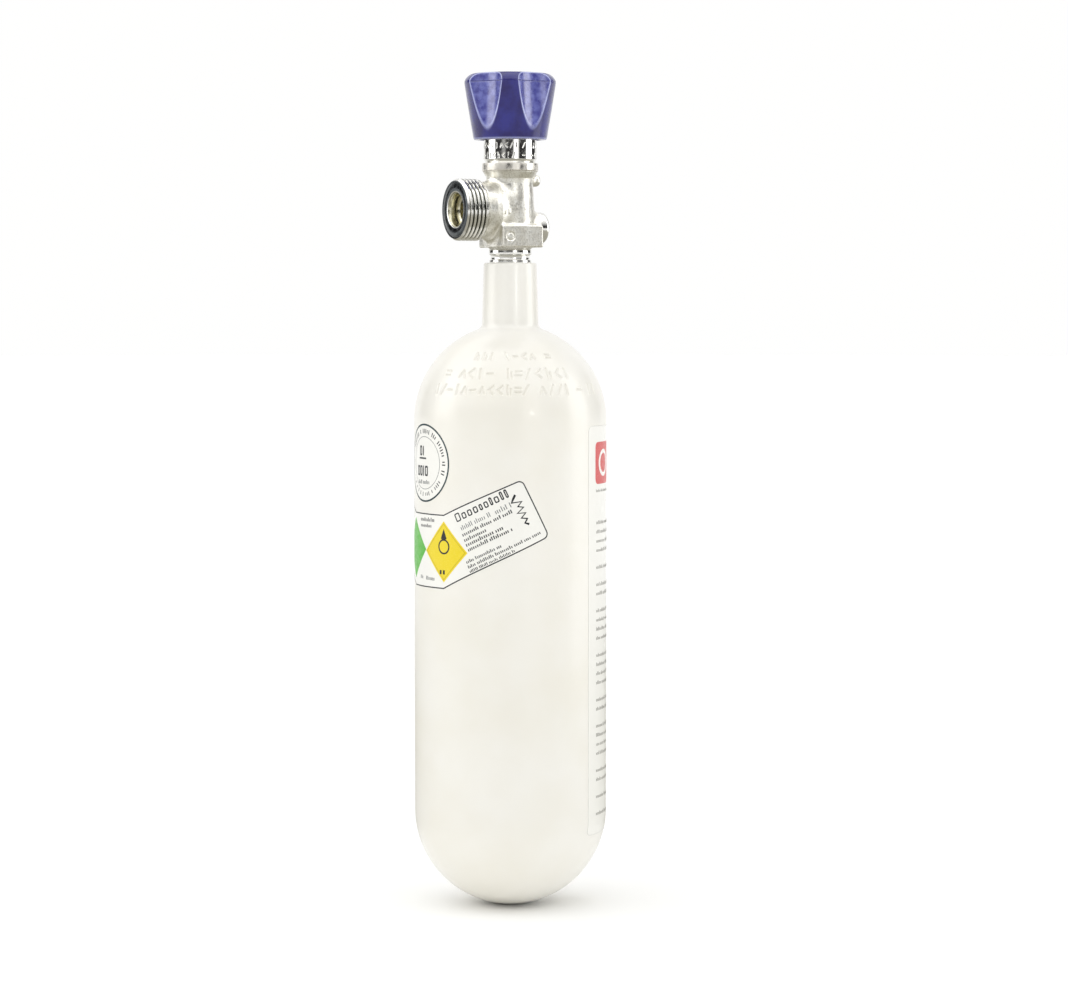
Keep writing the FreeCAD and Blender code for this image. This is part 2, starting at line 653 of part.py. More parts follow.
def build_safety_plug():
    """Burst disc on its gasket, held by a plug with a hexagon socket and a vent."""
    start = size.burst_bore_start
    outer = size.burst_bore_radius - 4 * size.insert_gap
    node("burst_gasket", washer("burst_gasket_body", size.burst_passage_radius, outer,
                                size.burst_gasket_height, (0, start, size.burst_height), REAR_WAY))
    disc_start = start + size.burst_gasket_height
    disc = turned("burst_disc_body", [(0, 0), (outer, 0), (outer, size.burst_disc_height),
                                      (0, size.burst_disc_height)],
                  (0, disc_start, size.burst_height), REAR_WAY)
    node("burst_disc", disc)
    plug_start = disc_start + size.burst_disc_height
    shank = size.rear_boss_reach - plug_start
    length = size.plug_reach - plug_start
    thread = size.burst_bore_radius - size.thread_gap
    blank = turned("safety_plug_blank", [
        (size.plug_vent_radius, 0), (thread, 0), (thread, shank), (size.plug_head_radius, shank),
        (size.plug_head_radius, length - size.plug_round), Bend(size.plug_round),
        (size.plug_head_radius - size.plug_round, length), (size.plug_vent_radius, length)],
        (0, plug_start, size.burst_height), REAR_WAY)
    socket = hexagon("safety_plug_socket", size.plug_socket_across, size.plug_socket_depth,
                     (0, size.plug_reach - size.plug_socket_depth, size.burst_height), REAR_WAY)
    node("safety_plug", cut("safety_plug_solid", blank, socket))


def build_dip_tube():
    node("dip_tube", washer("dip_tube_body", size.dip_tube_inner, size.dip_tube_radius,
                            size.dip_tube_top - size.dip_tube_bottom, (0, 0, size.dip_tube_bottom)))


# ---- what moves inside the valve ----

def build_seat():
    """The soft disc on the seat and the threaded plug that lifts it."""
    pad_outline = [(0, 0), (size.pad_radius, 0), (size.pad_radius, size.pad_height), (0, size.pad_height)]
    node("seat_pad", turned("seat_pad_body", pad_outline, (0, 0, size.seat_top)))
    pocket = size.pad_radius + size.pad_gap
    pocket_top = size.seat_top + size.pad_height + size.pad_gap
    blank = turned("seat_plug_blank", [
        (pocket, size.seat_top + size.cup_lip), (size.cup_radius, size.seat_top + size.cup_lip),
        (size.cup_radius, size.plug_thread_start), (size.plug_thread_radius, size.plug_thread_start),
        (size.plug_thread_radius, size.plug_top), (0, size.plug_top), (0, pocket_top),
        (pocket, pocket_top)])
    slot = box("seat_plug_slot", (-size.slot_width / 2, -size.slot_length / 2, size.slot_floor),
               size.slot_width, size.slot_length, size.plug_top - size.slot_floor)
    node("seat_plug", cut("seat_plug_solid", blank, slot))


def spindle_ring_heights():
    return [size.ring_low_height, size.ring_low_height + size.ring_spacing]


def build_spindle():
    outline = [(0, size.spindle_flange_bottom), (size.spindle_flange_radius, size.spindle_flange_bottom),
               (size.spindle_flange_radius, size.spindle_flange_top),
               (size.spindle_radius, size.spindle_flange_top)]
    for height in spindle_ring_heights():
        low, high = height - size.ring_groove_width / 2, height + size.ring_groove_width / 2
        outline += [(size.spindle_radius, low), (size.ring_groove_radius, low),
                    (size.ring_groove_radius, high), (size.spindle_radius, high)]
    outline += [(size.spindle_radius, size.square_bottom), (size.stud_radius, size.square_bottom),
                (size.stud_radius, size.stud_top), (0, size.stud_top)]
    shaft = turned("spindle_shaft", outline)
    square = box("spindle_square", (-size.square_across / 2, -size.square_across / 2, size.square_bottom),
                 size.square_across, size.square_across, size.square_top - size.square_bottom)
    tongue = box("spindle_tongue", (-size.tongue_width / 2, -size.tongue_length / 2, size.tongue_bottom),
                 size.tongue_width, size.tongue_length, size.spindle_flange_bottom - size.tongue_bottom)
    node("spindle", fuse("spindle_solid", shaft, square, tongue))
    rings = doc.addObject("Part::Compound", "spindle_o_ring_pair")
    rings.Links = [seal_ring("spindle_o_ring_%d" % (index + 1), size.ring_centre_radius,
                             size.ring_cord_radius, (0, 0, height))
                   for index, height in enumerate(spindle_ring_heights())]
    node("spindle_o_rings", rings)
    node("spindle_washer", washer("spindle_washer_body", size.gland_inner_radius, size.spindle_flange_radius,
                                  size.gland_seat - size.spindle_flange_top,
                                  (0, 0, size.spindle_flange_top)))


def build_gland():
    """The collar that closes the casting, with a hexagon hidden inside the handwheel."""
    thread = size.gland_bore_radius - size.thread_gap
    groove_half = size.gland_ring_cord_radius + size.pad_gap
    low, high = size.gland_ring_height - groove_half, size.gland_ring_height + groove_half
    bevel = size.gland_collar_bevel
    collar = turned("gland_collar", [
        (size.gland_inner_radius, size.gland_seat), (thread, size.gland_seat), (thread, low),
        (size.gland_ring_groove_radius, low), (size.gland_ring_groove_radius, high), (thread, high),
        (thread, size.ring_top), (size.gland_collar_radius - bevel / 2, size.ring_top),
        (size.gland_collar_radius, size.ring_top + bevel / 2),
        (size.gland_collar_radius, size.gland_collar_top - bevel),
        (size.gland_collar_radius - bevel, size.gland_collar_top),
        (size.gland_inner_radius, size.gland_collar_top)])
    hexagon_head = hexagon("gland_hexagon", size.gland_hex_across, size.gland_top - size.gland_collar_top,
                           (0, 0, size.gland_collar_top))
    bore = rod("gland_bore", size.gland_inner_radius, size.gland_top - size.gland_collar_top,
               (0, 0, size.gland_collar_top))
    node("gland_nut", fuse("gland_nut_solid", collar, cut("gland_hexagon_ring", hexagon_head, bore)))
    centre = size.gland_bore_radius - size.thread_gap - size.gland_ring_cord_radius
    node("gland_o_ring", seal_ring("gland_o_ring_body", centre, size.gland_ring_cord_radius,
                                   (0, 0, size.gland_ring_height)))


def build_spring():
    """A short compression spring of round wire between the gland and the brass bush."""
    low = size.gland_top + size.spring_wire_radius
    high = size.wheel_hub_bottom - size.spring_wire_radius
    helix = doc.addObject("Part::Helix", "spring_line")
    helix.Radius, helix.Pitch = float(size.spring_radius), float((high - low) / size.spring_turns)
    helix.Height = float(high - low)
    helix.SegmentLength = 1
    bind(helix, "Radius", size.spring_radius)
    bind(helix, "Pitch", (high - low) / size.spring_turns)
    bind(helix, "Height", high - low)
    wire = doc.addObject("Part::Circle", "spring_wire")
    wire.Radius = float(size.spring_wire_radius)
    bind(wire, "Radius", size.spring_wire_radius)
    wire.Placement = Placement(Vector(float(size.spring_radius), 0, 0), Rotation(Vector(1, 0, 0), 90))
    bind(wire, "Placement.Base.x", size.spring_radius)
    doc.recompute()
    sweep = doc.addObject("Part::Sweep", "spring_sweep")
    sweep.Sections = [wire]
    sweep.Spine = (helix, ["Edge%d" % (index + 1) for index in range(len(helix.Shape.Edges))])
    sweep.Solid = True
    sweep.Frenet = True
    place(sweep, (0, 0, low))
    node("spindle_spring", sweep)


# ---- the handwheel and what holds it ----

def flute_cutter():
    """One flute: two round hollows that meet at the brow, the upper one leaning inwards."""
    tools = []
    stretches = [(size.flute_foot_radius, size.flute_foot_height, size.flute_brow_radius, size.wheel_brow),
                 (size.flute_brow_radius, size.wheel_brow, size.flute_crown_radius, size.wheel_top)]
    for index, (low_radius, low, high_radius, high) in enumerate(stretches):
        lean = Vector(float(high_radius - low_radius), 0, float(high - low)).normalize()
        reach = float(size.wheel_top - size.wheel_bottom)
        start = Vector(float(low_radius + size.flute_radius), 0, float(low)) - lean * reach
        tool = doc.addObject("Part::Cylinder", "flute_hollow_%d" % (index + 1))
        tool.Radius = float(size.flute_radius)
        bind(tool, "Radius", size.flute_radius)
        tool.Height = 2 * reach
        bind(tool, "Height", 2 * (size.wheel_top - size.wheel_bottom))
        tool.Placement = Placement(start, Rotation(UP, lean))
        tools.append(tool)
    return fuse("flute_cutter", *tools)


def build_handwheel():
    mouth_top = size.wheel_bottom + size.wheel_mouth_height
    blank = turned("handwheel_blank", [
        (size.wheel_bush_radius + size.insert_gap, size.wheel_hub_bottom),
        (size.wheel_hub_radius, size.wheel_hub_bottom), (size.wheel_hub_radius, size.wheel_hollow_top),
        (size.wheel_hollow_radius, size.wheel_hollow_top), (size.wheel_hollow_radius, mouth_top),
        (size.wheel_mouth_radius, mouth_top), (size.wheel_mouth_radius, size.wheel_bottom),
        (size.wheel_rim_radius, size.wheel_bottom), (size.wheel_brow_radius, size.wheel_brow),
        Bend(size.crown_edge_round), (size.crown_turn_radius, size.crown_turn_height),
        Bend(), (0, size.wheel_top), (0, size.wheel_top - size.crown_skin),
        (size.wheel_well_radius, size.wheel_top - size.crown_skin),
        (size.wheel_well_radius, size.wheel_web_top),
        (size.wheel_bush_radius + size.insert_gap, size.wheel_web_top)])
    well_mouth = rod("handwheel_well_mouth", size.wheel_well_radius, 2 * size.crown_skin,
                     (0, 0, size.wheel_top - size.crown_skin))
    rib = box("handwheel_rib_blank",
              (size.wheel_hub_radius - size.rib_root, -size.rib_width / 2, size.wheel_hub_bottom),
              size.wheel_hollow_radius - size.wheel_hub_radius + 2 * size.rib_root, size.rib_width,
              size.wheel_hollow_top - size.wheel_hub_bottom + size.rib_root)
    ribs = ring_copies("handwheel_ribs", rib, size.flute_count, size.flute_phase)
    flutes = ring_copies("handwheel_flutes", flute_cutter(), size.flute_count, size.flute_phase)
    knob = cut("handwheel_fluted", fuse("handwheel_ribbed", blank, ribs), well_mouth, flutes)
    node("handwheel", knob)

    crown = turned("handwheel_cap_crown", [
        (0, size.cap_bottom), (size.wheel_well_radius - size.cap_gap, size.cap_bottom),
        (size.wheel_well_radius - size.cap_gap, size.wheel_top), (0, size.wheel_top)])
    envelope = turned("handwheel_cap_envelope", [
        (0, size.wheel_bottom), (size.wheel_brow_radius, size.wheel_brow),
        Bend(size.crown_edge_round), (size.crown_turn_radius, size.crown_turn_height),
        Bend(), (0, size.wheel_top)])
    cap = doc.addObject("Part::Common", "handwheel_cap_solid")
    cap.Base, cap.Tool = crown, envelope
    node("handwheel_cap", cap)

    bush = rod("handwheel_bush_blank", size.wheel_bush_radius, size.wheel_web_top - size.wheel_hub_bottom,
               (0, 0, size.wheel_hub_bottom))
    across = size.square_across + 2 * size.square_gap
    hole = box("handwheel_bush_square", (-across / 2, -across / 2, size.wheel_hub_bottom), across, across,
               size.wheel_web_top - size.wheel_hub_bottom)
    node("handwheel_insert", cut("handwheel_insert_solid", bush, hole))
    node("handwheel_washer", washer("handwheel_washer_body", size.stud_radius + size.thread_gap,
                                    size.washer_radius, size.washer_height, (0, 0, size.wheel_web_top)))
    nut_bottom = size.wheel_web_top + size.washer_height
    nut = hexagon("handwheel_nut_blank", size.nut_across, size.nut_height, (0, 0, nut_bottom))
    nut_bore = rod("handwheel_nut_bore", size.stud_radius + size.thread_gap, size.nut_height,
                   (0, 0, nut_bottom))
    node("handwheel_nut", cut("handwheel_nut_solid", nut, nut_bore))


# ---- labels: thin skins that follow the barrel ----

def rounded_corners(points, radius):
    """Pieces of a closed outline in (round the barrel, height): straight runs and rounded corners."""
    count = len(points)
    pieces = []
    trims = []
    for index, corner in enumerate(points):
        before, after = points[index - 1], points[(index + 1) % count]
        back, ahead = before - corner, after - corner
        turn = math.pi - back.getAngle(ahead)
        trim = radius * math.tan(turn / 2.0)
        trims.append((corner + back.normalize() * trim, corner, corner + ahead.normalize() * trim))
    for index, (start, corner, end) in enumerate(trims):
        pieces.append([start, corner, end])
        pieces.append([end, trims[(index + 1) % count][0]])
    return pieces


def plane_curve(piece):
    """A run or a corner on a cylinder's own flat coordinates, whose first one is an angle."""
    flat = [FreeCAD.Base.Vector2d(point.x / float(size.shell_radius), point.y) for point in piece]
    if len(flat) == 2:
        return Part.Geom2d.Line2dSegment(*flat)
    curve = Part.Geom2d.BezierCurve2d()
    curve.setPoles(flat)
    return curve


def skin(name, pieces, facing):
    """A closed skin between two radii, from the pieces of its outline, turned to face a direction."""
    low = float(size.shell_radius + size.label_gap)
    radii = (low, low + float(size.label_thickness))
    rims = []
    for radius in radii:
        surface = Part.Cylinder()
        surface.Radius = radius
        edges = [plane_curve(piece).toShape(surface) for piece in pieces]
        rims.append((surface, edges))
    faces = [Part.Face(surface, Part.Wire(edges)) for surface, edges in rims]
    faces += [Part.makeRuledSurface(inner, outer) for inner, outer in zip(rims[0][1], rims[1][1])]
    shell = Part.makeShell(faces)
    shell.sewShape()
    solid = Part.Solid(shell)
    if solid.Volume < 0:
        solid.reverse()
    label = doc.addObject("Part::Feature", name + "_skin")
    label.Shape = solid
    # the cylinder's own seam is at +X, so the label is drawn about angle pi and turned back from there
    label.Placement = Placement(Vector(), Rotation(Vector(-1, 0, 0), facing))
    node(name, label)


def around(shift, height):
    """A point of a label's outline, half a turn from the cylinder's seam."""
    return Vector(math.pi * float(size.shell_radius) + float(shift), float(height), 0)


def build_instruction_label():
    """A sheet round part of the barrel whose lower edge follows the start of the lower dome."""
    inner = size.shell_radius + size.label_gap
    outer = inner + size.label_thickness
    drop = size.shell_radius - size.instruction_bottom
    foot_inner = root(inner * inner - drop * drop)
    foot_outer = root(outer * outer - drop * drop)
    degrees = 2 * size.instruction_half_width / size.shell_radius * (180 / math.pi)
    label = turned("instruction_label_body", [
        (foot_inner, size.instruction_bottom), (foot_outer, size.instruction_bottom),
        Bend(), (outer, size.shell_radius), (outer, size.instruction_top), (inner, size.instruction_top),
        (inner, size.shell_radius), Bend()], angle=degrees)
    label.Placement = Placement(Vector(), Rotation(UP, 90))
    node("instruction_label", label)


def build_labels():
    corners = [around(side_out, height) for side_out, height in (
        (size.data_label_fold, size.data_label_bottom), (size.data_wing_end_out, size.data_wing_end_height),
        (size.data_wing_tip_out, size.data_wing_tip_height), (size.data_label_fold, size.data_label_top),
        (-size.data_label_fold, size.data_label_top), (-size.data_wing_tip_out, size.data_wing_tip_height),
        (-size.data_wing_end_out, size.data_wing_end_height), (-size.data_label_fold,
                                                              size.data_label_bottom))]
    shift = Vector(float(size.data_label_shift), 0, 0)
    outline = rounded_corners([corner + shift for corner in corners], float(size.data_label_corner))
    skin("data_label", outline, OUTLET_WAY)

    # the round label: a circle in flat coordinates, drawn as eight curved pieces
    centre = around(size.test_label_shift, size.test_label_height)
    radius = float(size.test_label_radius)
    sides = 8
    step = 2 * math.pi / sides
    pieces = []
    for index in range(sides):
        angles = [index * step, (index + 0.5) * step, (index + 1) * step]
        reach = [radius, radius / math.cos(step / 2.0), radius]
        pieces.append([centre + Vector(math.cos(angle), math.sin(angle), 0) * length
                       for angle, length in zip(angles, reach)])
    skin("test_label", pieces, OUTLET_WAY)


def main():
    build_shell()
    build_valve_body()
    build_outlet_insert()
    build_safety_plug()
    build_dip_tube()
    build_seat()
    build_spindle()
    build_gland()
    build_spring()
    build_handwheel()
    build_labels()
    build_instruction_label()
    doc.recompute()

    faults = ["%s is %s" % (item.Label, state) for item in doc.Objects for state in item.State
              if state in ("Invalid", "Error")]
    for item in doc.Objects:
        if item.isDerivedFrom("Part::Feature") and not (item.Shape.isNull() or item.Shape.isValid()):
            faults.append("%s has a broken shape" % item.Label)
    for name, item in nodes.items():
        if item.Shape.isNull() or not item.Shape.Solids or item.Shape.Volume <= 0:
            faults.append("%s has no solid" % name)
    if faults:
        sys.exit("\n".join(faults))

    os.makedirs("parts", exist_ok=True)
    for name, item in nodes.items():
        item.Shape.exportStep(os.path.join("parts", name + ".step"))
        extent = item.Shape.BoundBox
        print("%-20s %d solids %10.1f mm3  x %.2f..%.2f  y %.2f..%.2f  z %.2f..%.2f" % (
            name, len(item.Shape.Solids), item.Shape.Volume, extent.XMin, extent.XMax, extent.YMin,
            extent.YMax, extent.ZMin, extent.ZMax))


main()
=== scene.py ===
import math
import random

import bmesh
import bpy
import numpy as np
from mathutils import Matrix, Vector


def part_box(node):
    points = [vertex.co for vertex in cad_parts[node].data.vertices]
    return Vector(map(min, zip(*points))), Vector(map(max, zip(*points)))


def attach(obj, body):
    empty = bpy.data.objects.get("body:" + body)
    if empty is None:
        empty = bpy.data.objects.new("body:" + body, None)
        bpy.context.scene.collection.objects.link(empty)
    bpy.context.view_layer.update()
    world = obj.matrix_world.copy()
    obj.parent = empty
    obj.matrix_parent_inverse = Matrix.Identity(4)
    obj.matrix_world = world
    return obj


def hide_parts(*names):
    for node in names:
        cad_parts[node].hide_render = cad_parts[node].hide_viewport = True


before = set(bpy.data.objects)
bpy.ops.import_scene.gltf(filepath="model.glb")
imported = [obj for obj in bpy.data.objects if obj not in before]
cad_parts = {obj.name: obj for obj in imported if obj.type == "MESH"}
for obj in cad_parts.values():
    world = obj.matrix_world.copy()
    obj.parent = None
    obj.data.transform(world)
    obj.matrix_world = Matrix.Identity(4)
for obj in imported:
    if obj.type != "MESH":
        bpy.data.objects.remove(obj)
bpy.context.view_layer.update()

# One-litre medical oxygen cylinder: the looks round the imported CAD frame.
# Lengths are millimetres and angles degrees unless a name says otherwise. +Z runs up the bottle, -Y out
# of the outlet and +Y out of the safety plug.

MM = 0.001
UP, OUTLET_WAY, REAR_WAY = (0, 0, 1), (0, -1, 0), (0, 1, 0)


def corners(node):
    """Lowest and highest corner of a CAD node, in millimetres."""
    low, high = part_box(node)
    return low / MM, high / MM


_, SHELL_HIGH = corners("cylinder_shell")
VALVE_LOW, VALVE_HIGH = corners("valve_body")
INSERT_LOW, INSERT_HIGH = corners("outlet_insert")
PLUG_LOW, PLUG_HIGH = corners("safety_plug")
GLAND_LOW, GLAND_HIGH = corners("gland_nut")
WHEEL_LOW, _ = corners("handwheel")
CAP_LOW, CAP_HIGH = corners("handwheel_cap")

BARREL = SHELL_HIGH.x                              # outside radius of the barrel and both domes
NECK_TOP = SHELL_HIGH.z
OUTLET_TIP = -VALVE_LOW.y                          # distance of the outlet's end face from the axis
THREAD_RADIUS = VALVE_HIGH.x
OUTLET_HEIGHT = (INSERT_LOW.z + INSERT_HIGH.z) / 2
PLUG_HEIGHT = (PLUG_LOW.z + PLUG_HIGH.z) / 2
RING_TOP = VALVE_HIGH.z
WHEEL_BOTTOM = WHEEL_LOW.z
WHEEL_TOP = CAP_HIGH.z


# ---- meshes ----

def basis(way):
    """Own x, y and z of a piece that stands along a direction, one in each row."""
    along, across = Vector(way), Vector((1, 0, 0))
    return np.array([across, along.cross(across), along])


def signed_volume(points, faces):
    """Volume of a closed mesh of quads, below zero when its faces look inwards."""
    a, b, c, d = (points[faces[:, k]] for k in range(4))
    return (np.einsum("ij,ij->", a, np.cross(b, c)) + np.einsum("ij,ij->", a, np.cross(c, d))) / 6


def new_mesh(name, points, faces, materials):
    """A mesh from points in millimetres."""
    mesh = bpy.data.meshes.new(name)
    mesh.from_pydata((np.asarray(points, float) * MM).tolist(), [], faces)
    for material in materials:
        mesh.materials.append(material)
    return mesh


def shown(mesh, crease):
    """Object with smooth shading up to the crease angle, linked into the scene."""
    mesh.shade_smooth()
    mesh.set_sharp_from_angle(angle=math.radians(crease))
    piece = bpy.data.objects.new(mesh.name, mesh)
    bpy.context.scene.collection.objects.link(piece)
    return piece


def make_piece(name, points, faces, materials, body, replaces=(), crease=40, paint=None, masks=None):
    """A piece of quads. Paint gives each face its material's number, from the faces' middles; masks are
    named functions that give each point a share from 0 to 1 for its material to use."""
    points, faces = np.asarray(points, float), np.asarray(faces)
    if signed_volume(points, faces) < 0:
        faces = faces[:, ::-1]
    mesh = new_mesh(name, points, faces.tolist(), materials)
    if paint is not None:
        middles = points[faces].mean(axis=1)
        mesh.polygons.foreach_set("material_index", paint(middles).astype(np.int32))
    for mask, share in (masks or {}).items():
        layer = mesh.attributes.new(mask, "FLOAT", "POINT")
        layer.data.foreach_set("value", share(points).astype(np.float32))
    work = bmesh.new()
    work.from_mesh(mesh)
    bmesh.ops.remove_doubles(work, verts=work.verts, dist=0.0005 * MM)
    work.to_mesh(mesh)
    work.free()
    piece = shown(mesh, crease)
    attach(piece, body)
    if replaces:
        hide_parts(*replaces)
    return piece


def arc(start, end, radius, steps):
    """Points of an arc from start to end, both included, that bulges to the right of the way it goes."""
    start, end = Vector(start), Vector(end)
    chord = end - start
    rise = math.sqrt(radius ** 2 - chord.length_squared / 4)
    centre = (start + end) / 2 + Vector((-chord.y, chord.x)).normalized() * rise
    first = math.atan2(start.y - centre.y, start.x - centre.x)
    turn = 2 * math.asin(chord.length / 2 / radius)
    return [(centre.x + radius * math.cos(first + turn * k / steps),
             centre.y + radius * math.sin(first + turn * k / steps)) for k in range(steps + 1)]


def soften(outline, steps=4):
    """Closed outline whose corners (x, y, rounding) become small arcs; a corner without rounding stays."""
    points = []
    for number, corner in enumerate(outline):
        here = Vector(corner[:2])
        if len(corner) < 3:
            points.append(tuple(here))
            continue
        back = (Vector(outline[number - 1][:2]) - here).normalized()
        ahead = (Vector(outline[(number + 1) % len(outline)][:2]) - here).normalized()
        half = back.angle(ahead) / 2
        centre = here + (back + ahead).normalized() * corner[2] / math.sin(half)
        start = here + back * corner[2] / math.tan(half) - centre
        turn = math.copysign(math.pi - 2 * half, back.cross(ahead) * -1)
        for step in range(steps + 1):
            angle = turn * step / steps
            points.append((centre.x + start.x * math.cos(angle) - start.y * math.sin(angle),
                           centre.y + start.x * math.sin(angle) + start.y * math.cos(angle)))
    return points


def grid_faces(rows, columns):
    """Quads of a grid of points that closes on itself both ways."""
    row, column = np.meshgrid(np.arange(rows), np.arange(columns), indexing="ij")
    below, beside = (row + 1) % rows, (column + 1) % columns
    return np.stack([row * columns + column, row * columns + beside,
                     below * columns + beside, below * columns + column], axis=-1).reshape(-1, 4)


def turned_points(spread, rise, angles, at, way):
    """Points at radii and heights about an axis, one row of them for each point of the outline."""
    local = np.stack([spread * np.cos(angles), spread * np.sin(angles), rise], axis=-1).reshape(-1, 3)
    return local @ basis(way) + np.array(at, float)


def lathe(outline, segments=96, at=(0, 0, 0), way=UP, hexagonal=None, angles=None, relief=None):
    """Closed outline of (radius, height) points turned about an axis, as points and quads.
    Where hexagonal(radius, height) is true the radius is half the distance across flats; relief gives how
    far each point stands out along the outline's own normal."""
    radii, heights = np.array(outline, float).T
    if angles is None:
        angles = np.arange(segments) * 2 * math.pi / segments
    spread = np.repeat(radii[:, None], len(angles), axis=1)
    rise = np.repeat(heights[:, None], len(angles), axis=1)
    if hexagonal is not None:
        flat = (angles + math.pi / 6) % (math.pi / 3) - math.pi / 6
        rows = np.array([hexagonal(r, z) for r, z in zip(radii, heights)])
        spread[rows] /= np.cos(flat)
    if relief is not None:
        ahead = np.roll(np.stack([radii, heights]), -1, axis=1)
        behind = np.roll(np.stack([radii, heights]), 1, axis=1)
        run = ahead - behind
        normal = np.stack([run[1], -run[0]]) / np.hypot(*run)
        height = relief(angles[None, :], radii[:, None], heights[:, None])
        spread += height * normal[0][:, None]
        rise += height * normal[1][:, None]
    return turned_points(spread, rise, angles, at, way), grid_faces(*spread.shape)


# ---- solids from distance functions, for shapes that flow into each other ----

def join(a, b, width):
    """Union of two distances with a fillet."""
    near = np.maximum(width - np.abs(a - b), 0) / width
    return np.minimum(a, b) - near * near * width / 4


def carve(a, b, width=0.3):
    """Distance a without b, with the edge rounded."""
    return -join(-a, b, width)


class Section:
    """Signed distance from a closed outline of (radius, height) points, kept in a table."""

    STEP = 0.1
    MARGIN = 3.0

    def __init__(self, outline):
        points = np.array(outline, float)
        self.low = np.array([0.0, points[:, 1].min() - self.MARGIN])
        high = points.max(axis=0) + self.MARGIN
        self.shape = np.ceil((high - self.low) / self.STEP).astype(int) + 1
        axes = [self.low[k] + np.arange(self.shape[k]) * self.STEP for k in range(2)]
        r, z = np.meshgrid(*axes, indexing="ij")
        nearest, inside = np.full(r.shape, np.inf), np.zeros(r.shape, bool)
        for (r0, z0), (r1, z1) in zip(points, np.roll(points, -1, axis=0)):
            length = (r1 - r0) ** 2 + (z1 - z0) ** 2
            if length < 1e-12:
                continue
            share = np.clip(((r - r0) * (r1 - r0) + (z - z0) * (z1 - z0)) / length, 0, 1)
            if max(r0, r1) > 0:
                away = np.hypot(r - r0 - share * (r1 - r0), z - z0 - share * (z1 - z0))
                nearest = np.minimum(nearest, away)
            if z0 != z1:
                inside ^= ((z0 > z) != (z1 > z)) & (r < r0 + (z - z0) * (r1 - r0) / (z1 - z0))
        self.table = np.where(inside, -nearest, nearest)

    def __call__(self, radius, height):
        u = np.clip((radius - self.low[0]) / self.STEP, 0, self.shape[0] - 1.001)
        v = np.clip((height - self.low[1]) / self.STEP, 0, self.shape[1] - 1.001)
        i, j = u.astype(int), v.astype(int)
        u, v = u - i, v - j
        t = self.table
        return ((t[i, j] * (1 - u) + t[i + 1, j] * u) * (1 - v)
                + (t[i, j + 1] * (1 - u) + t[i + 1, j + 1] * u) * v)


def rod(p, way, start, end, radius, at=(0, 0, 0), rounding=0.3):
    """Distance from a round bar along an axis; radius is a number or a list of (position, radius)."""
    local = (p - np.array(at)) @ basis(way).T
    if not np.isscalar(radius):
        positions, radii = zip(*radius)
        radius = np.interp(local[:, 2], positions, radii)
    side = np.hypot(local[:, 0], local[:, 1]) - radius
    ends = np.maximum(start - local[:, 2], local[:, 2] - end)
    return -join(-side, -ends, rounding)


def block(p, low, high, rounding):
    """Distance from a box with rounded edges."""
    low, high = np.array(low), np.array(high)
    away = np.abs(p - (low + high) / 2) - (high - low) / 2 + rounding
    return np.linalg.norm(np.maximum(away, 0), axis=1) + np.minimum(away.max(axis=1), 0) - rounding


def net(distance, low, high, pitch):
    """Closed mesh of quads where a distance function is zero, each point then drawn onto the surface."""
    axes = [np.arange(a - 2 * pitch, b + 2 * pitch, pitch) for a, b in zip(low, high)]
    grid = np.stack(np.meshgrid(*axes, indexing="ij"), axis=-1)
    field = distance(grid.reshape(-1, 3)).reshape(grid.shape[:3])
    inside = field < 0
    count = np.zeros([n - 1 for n in inside.shape], int)
    for x in (0, 1):
        for y in (0, 1):
            for z in (0, 1):
                count += inside[x:x + count.shape[0], y:y + count.shape[1], z:z + count.shape[2]]
    mixed = (count > 0) & (count < 8)
    index = np.full(mixed.shape, -1)
    index[mixed] = np.arange(mixed.sum())
    cells = np.argwhere(mixed)
    total, hits = np.zeros((len(cells), 3)), np.zeros(len(cells))
    faces = []
    for axis in range(3):
        one, other = np.eye(3, dtype=int)[(axis + 1) % 3], np.eye(3, dtype=int)[(axis + 2) % 3]
        forward = np.eye(3, dtype=int)[axis]
        for corner in (0 * one, one, other, one + other):
            first = field[tuple((cells + corner).T)]
            last = field[tuple((cells + corner + forward).T)]
            crossed = (first < 0) != (last < 0)
            share = np.where(crossed, first / np.where(crossed, first - last, 1), 0)
            total += np.where(crossed[:, None], corner + share[:, None] * forward, 0)
            hits += crossed
        before = np.take(inside, range(inside.shape[axis] - 1), axis=axis)
        after = np.take(inside, range(1, inside.shape[axis]), axis=axis)
        edges = np.argwhere(before != after)
        quads = np.stack([index[tuple((edges - step).T)] for step in (0 * one, one, one + other, other)],
                         axis=1)
        turned = ~before[tuple(edges.T)]
        quads[turned] = quads[turned][:, ::-1]
        faces.append(quads)
    points = (cells + total / hits[:, None]) * pitch + np.array([axis[0] for axis in axes])
    return settle(points, distance, pitch), np.concatenate(faces)


def settle(points, distance, pitch, rounds=4):
    """Move points along the distance's slope until they lie on its surface."""
    reach = pitch / 10
    for _ in range(rounds):
        slope = np.stack([distance(points + step) - distance(points - step)
                          for step in np.eye(3) * reach], axis=1) / (2 * reach)
        steep = np.maximum((slope ** 2).sum(axis=1), 0.2)
        move = slope * (distance(points) / steep)[:, None]
        length = np.linalg.norm(move, axis=1)
        points = points - move * (np.minimum(length, pitch / 2) / np.maximum(length, 1e-9))[:, None]
    return points


# ---- materials ----

def srgb(red, green, blue):
    """A screen colour, 0 to 255, as the linear colour that a shader takes."""
    return tuple(((c / 255 + 0.055) / 1.055) ** 2.4 if c > 10 else c / 255 / 12.92
                 for c in (red, green, blue)) + (1.0,)


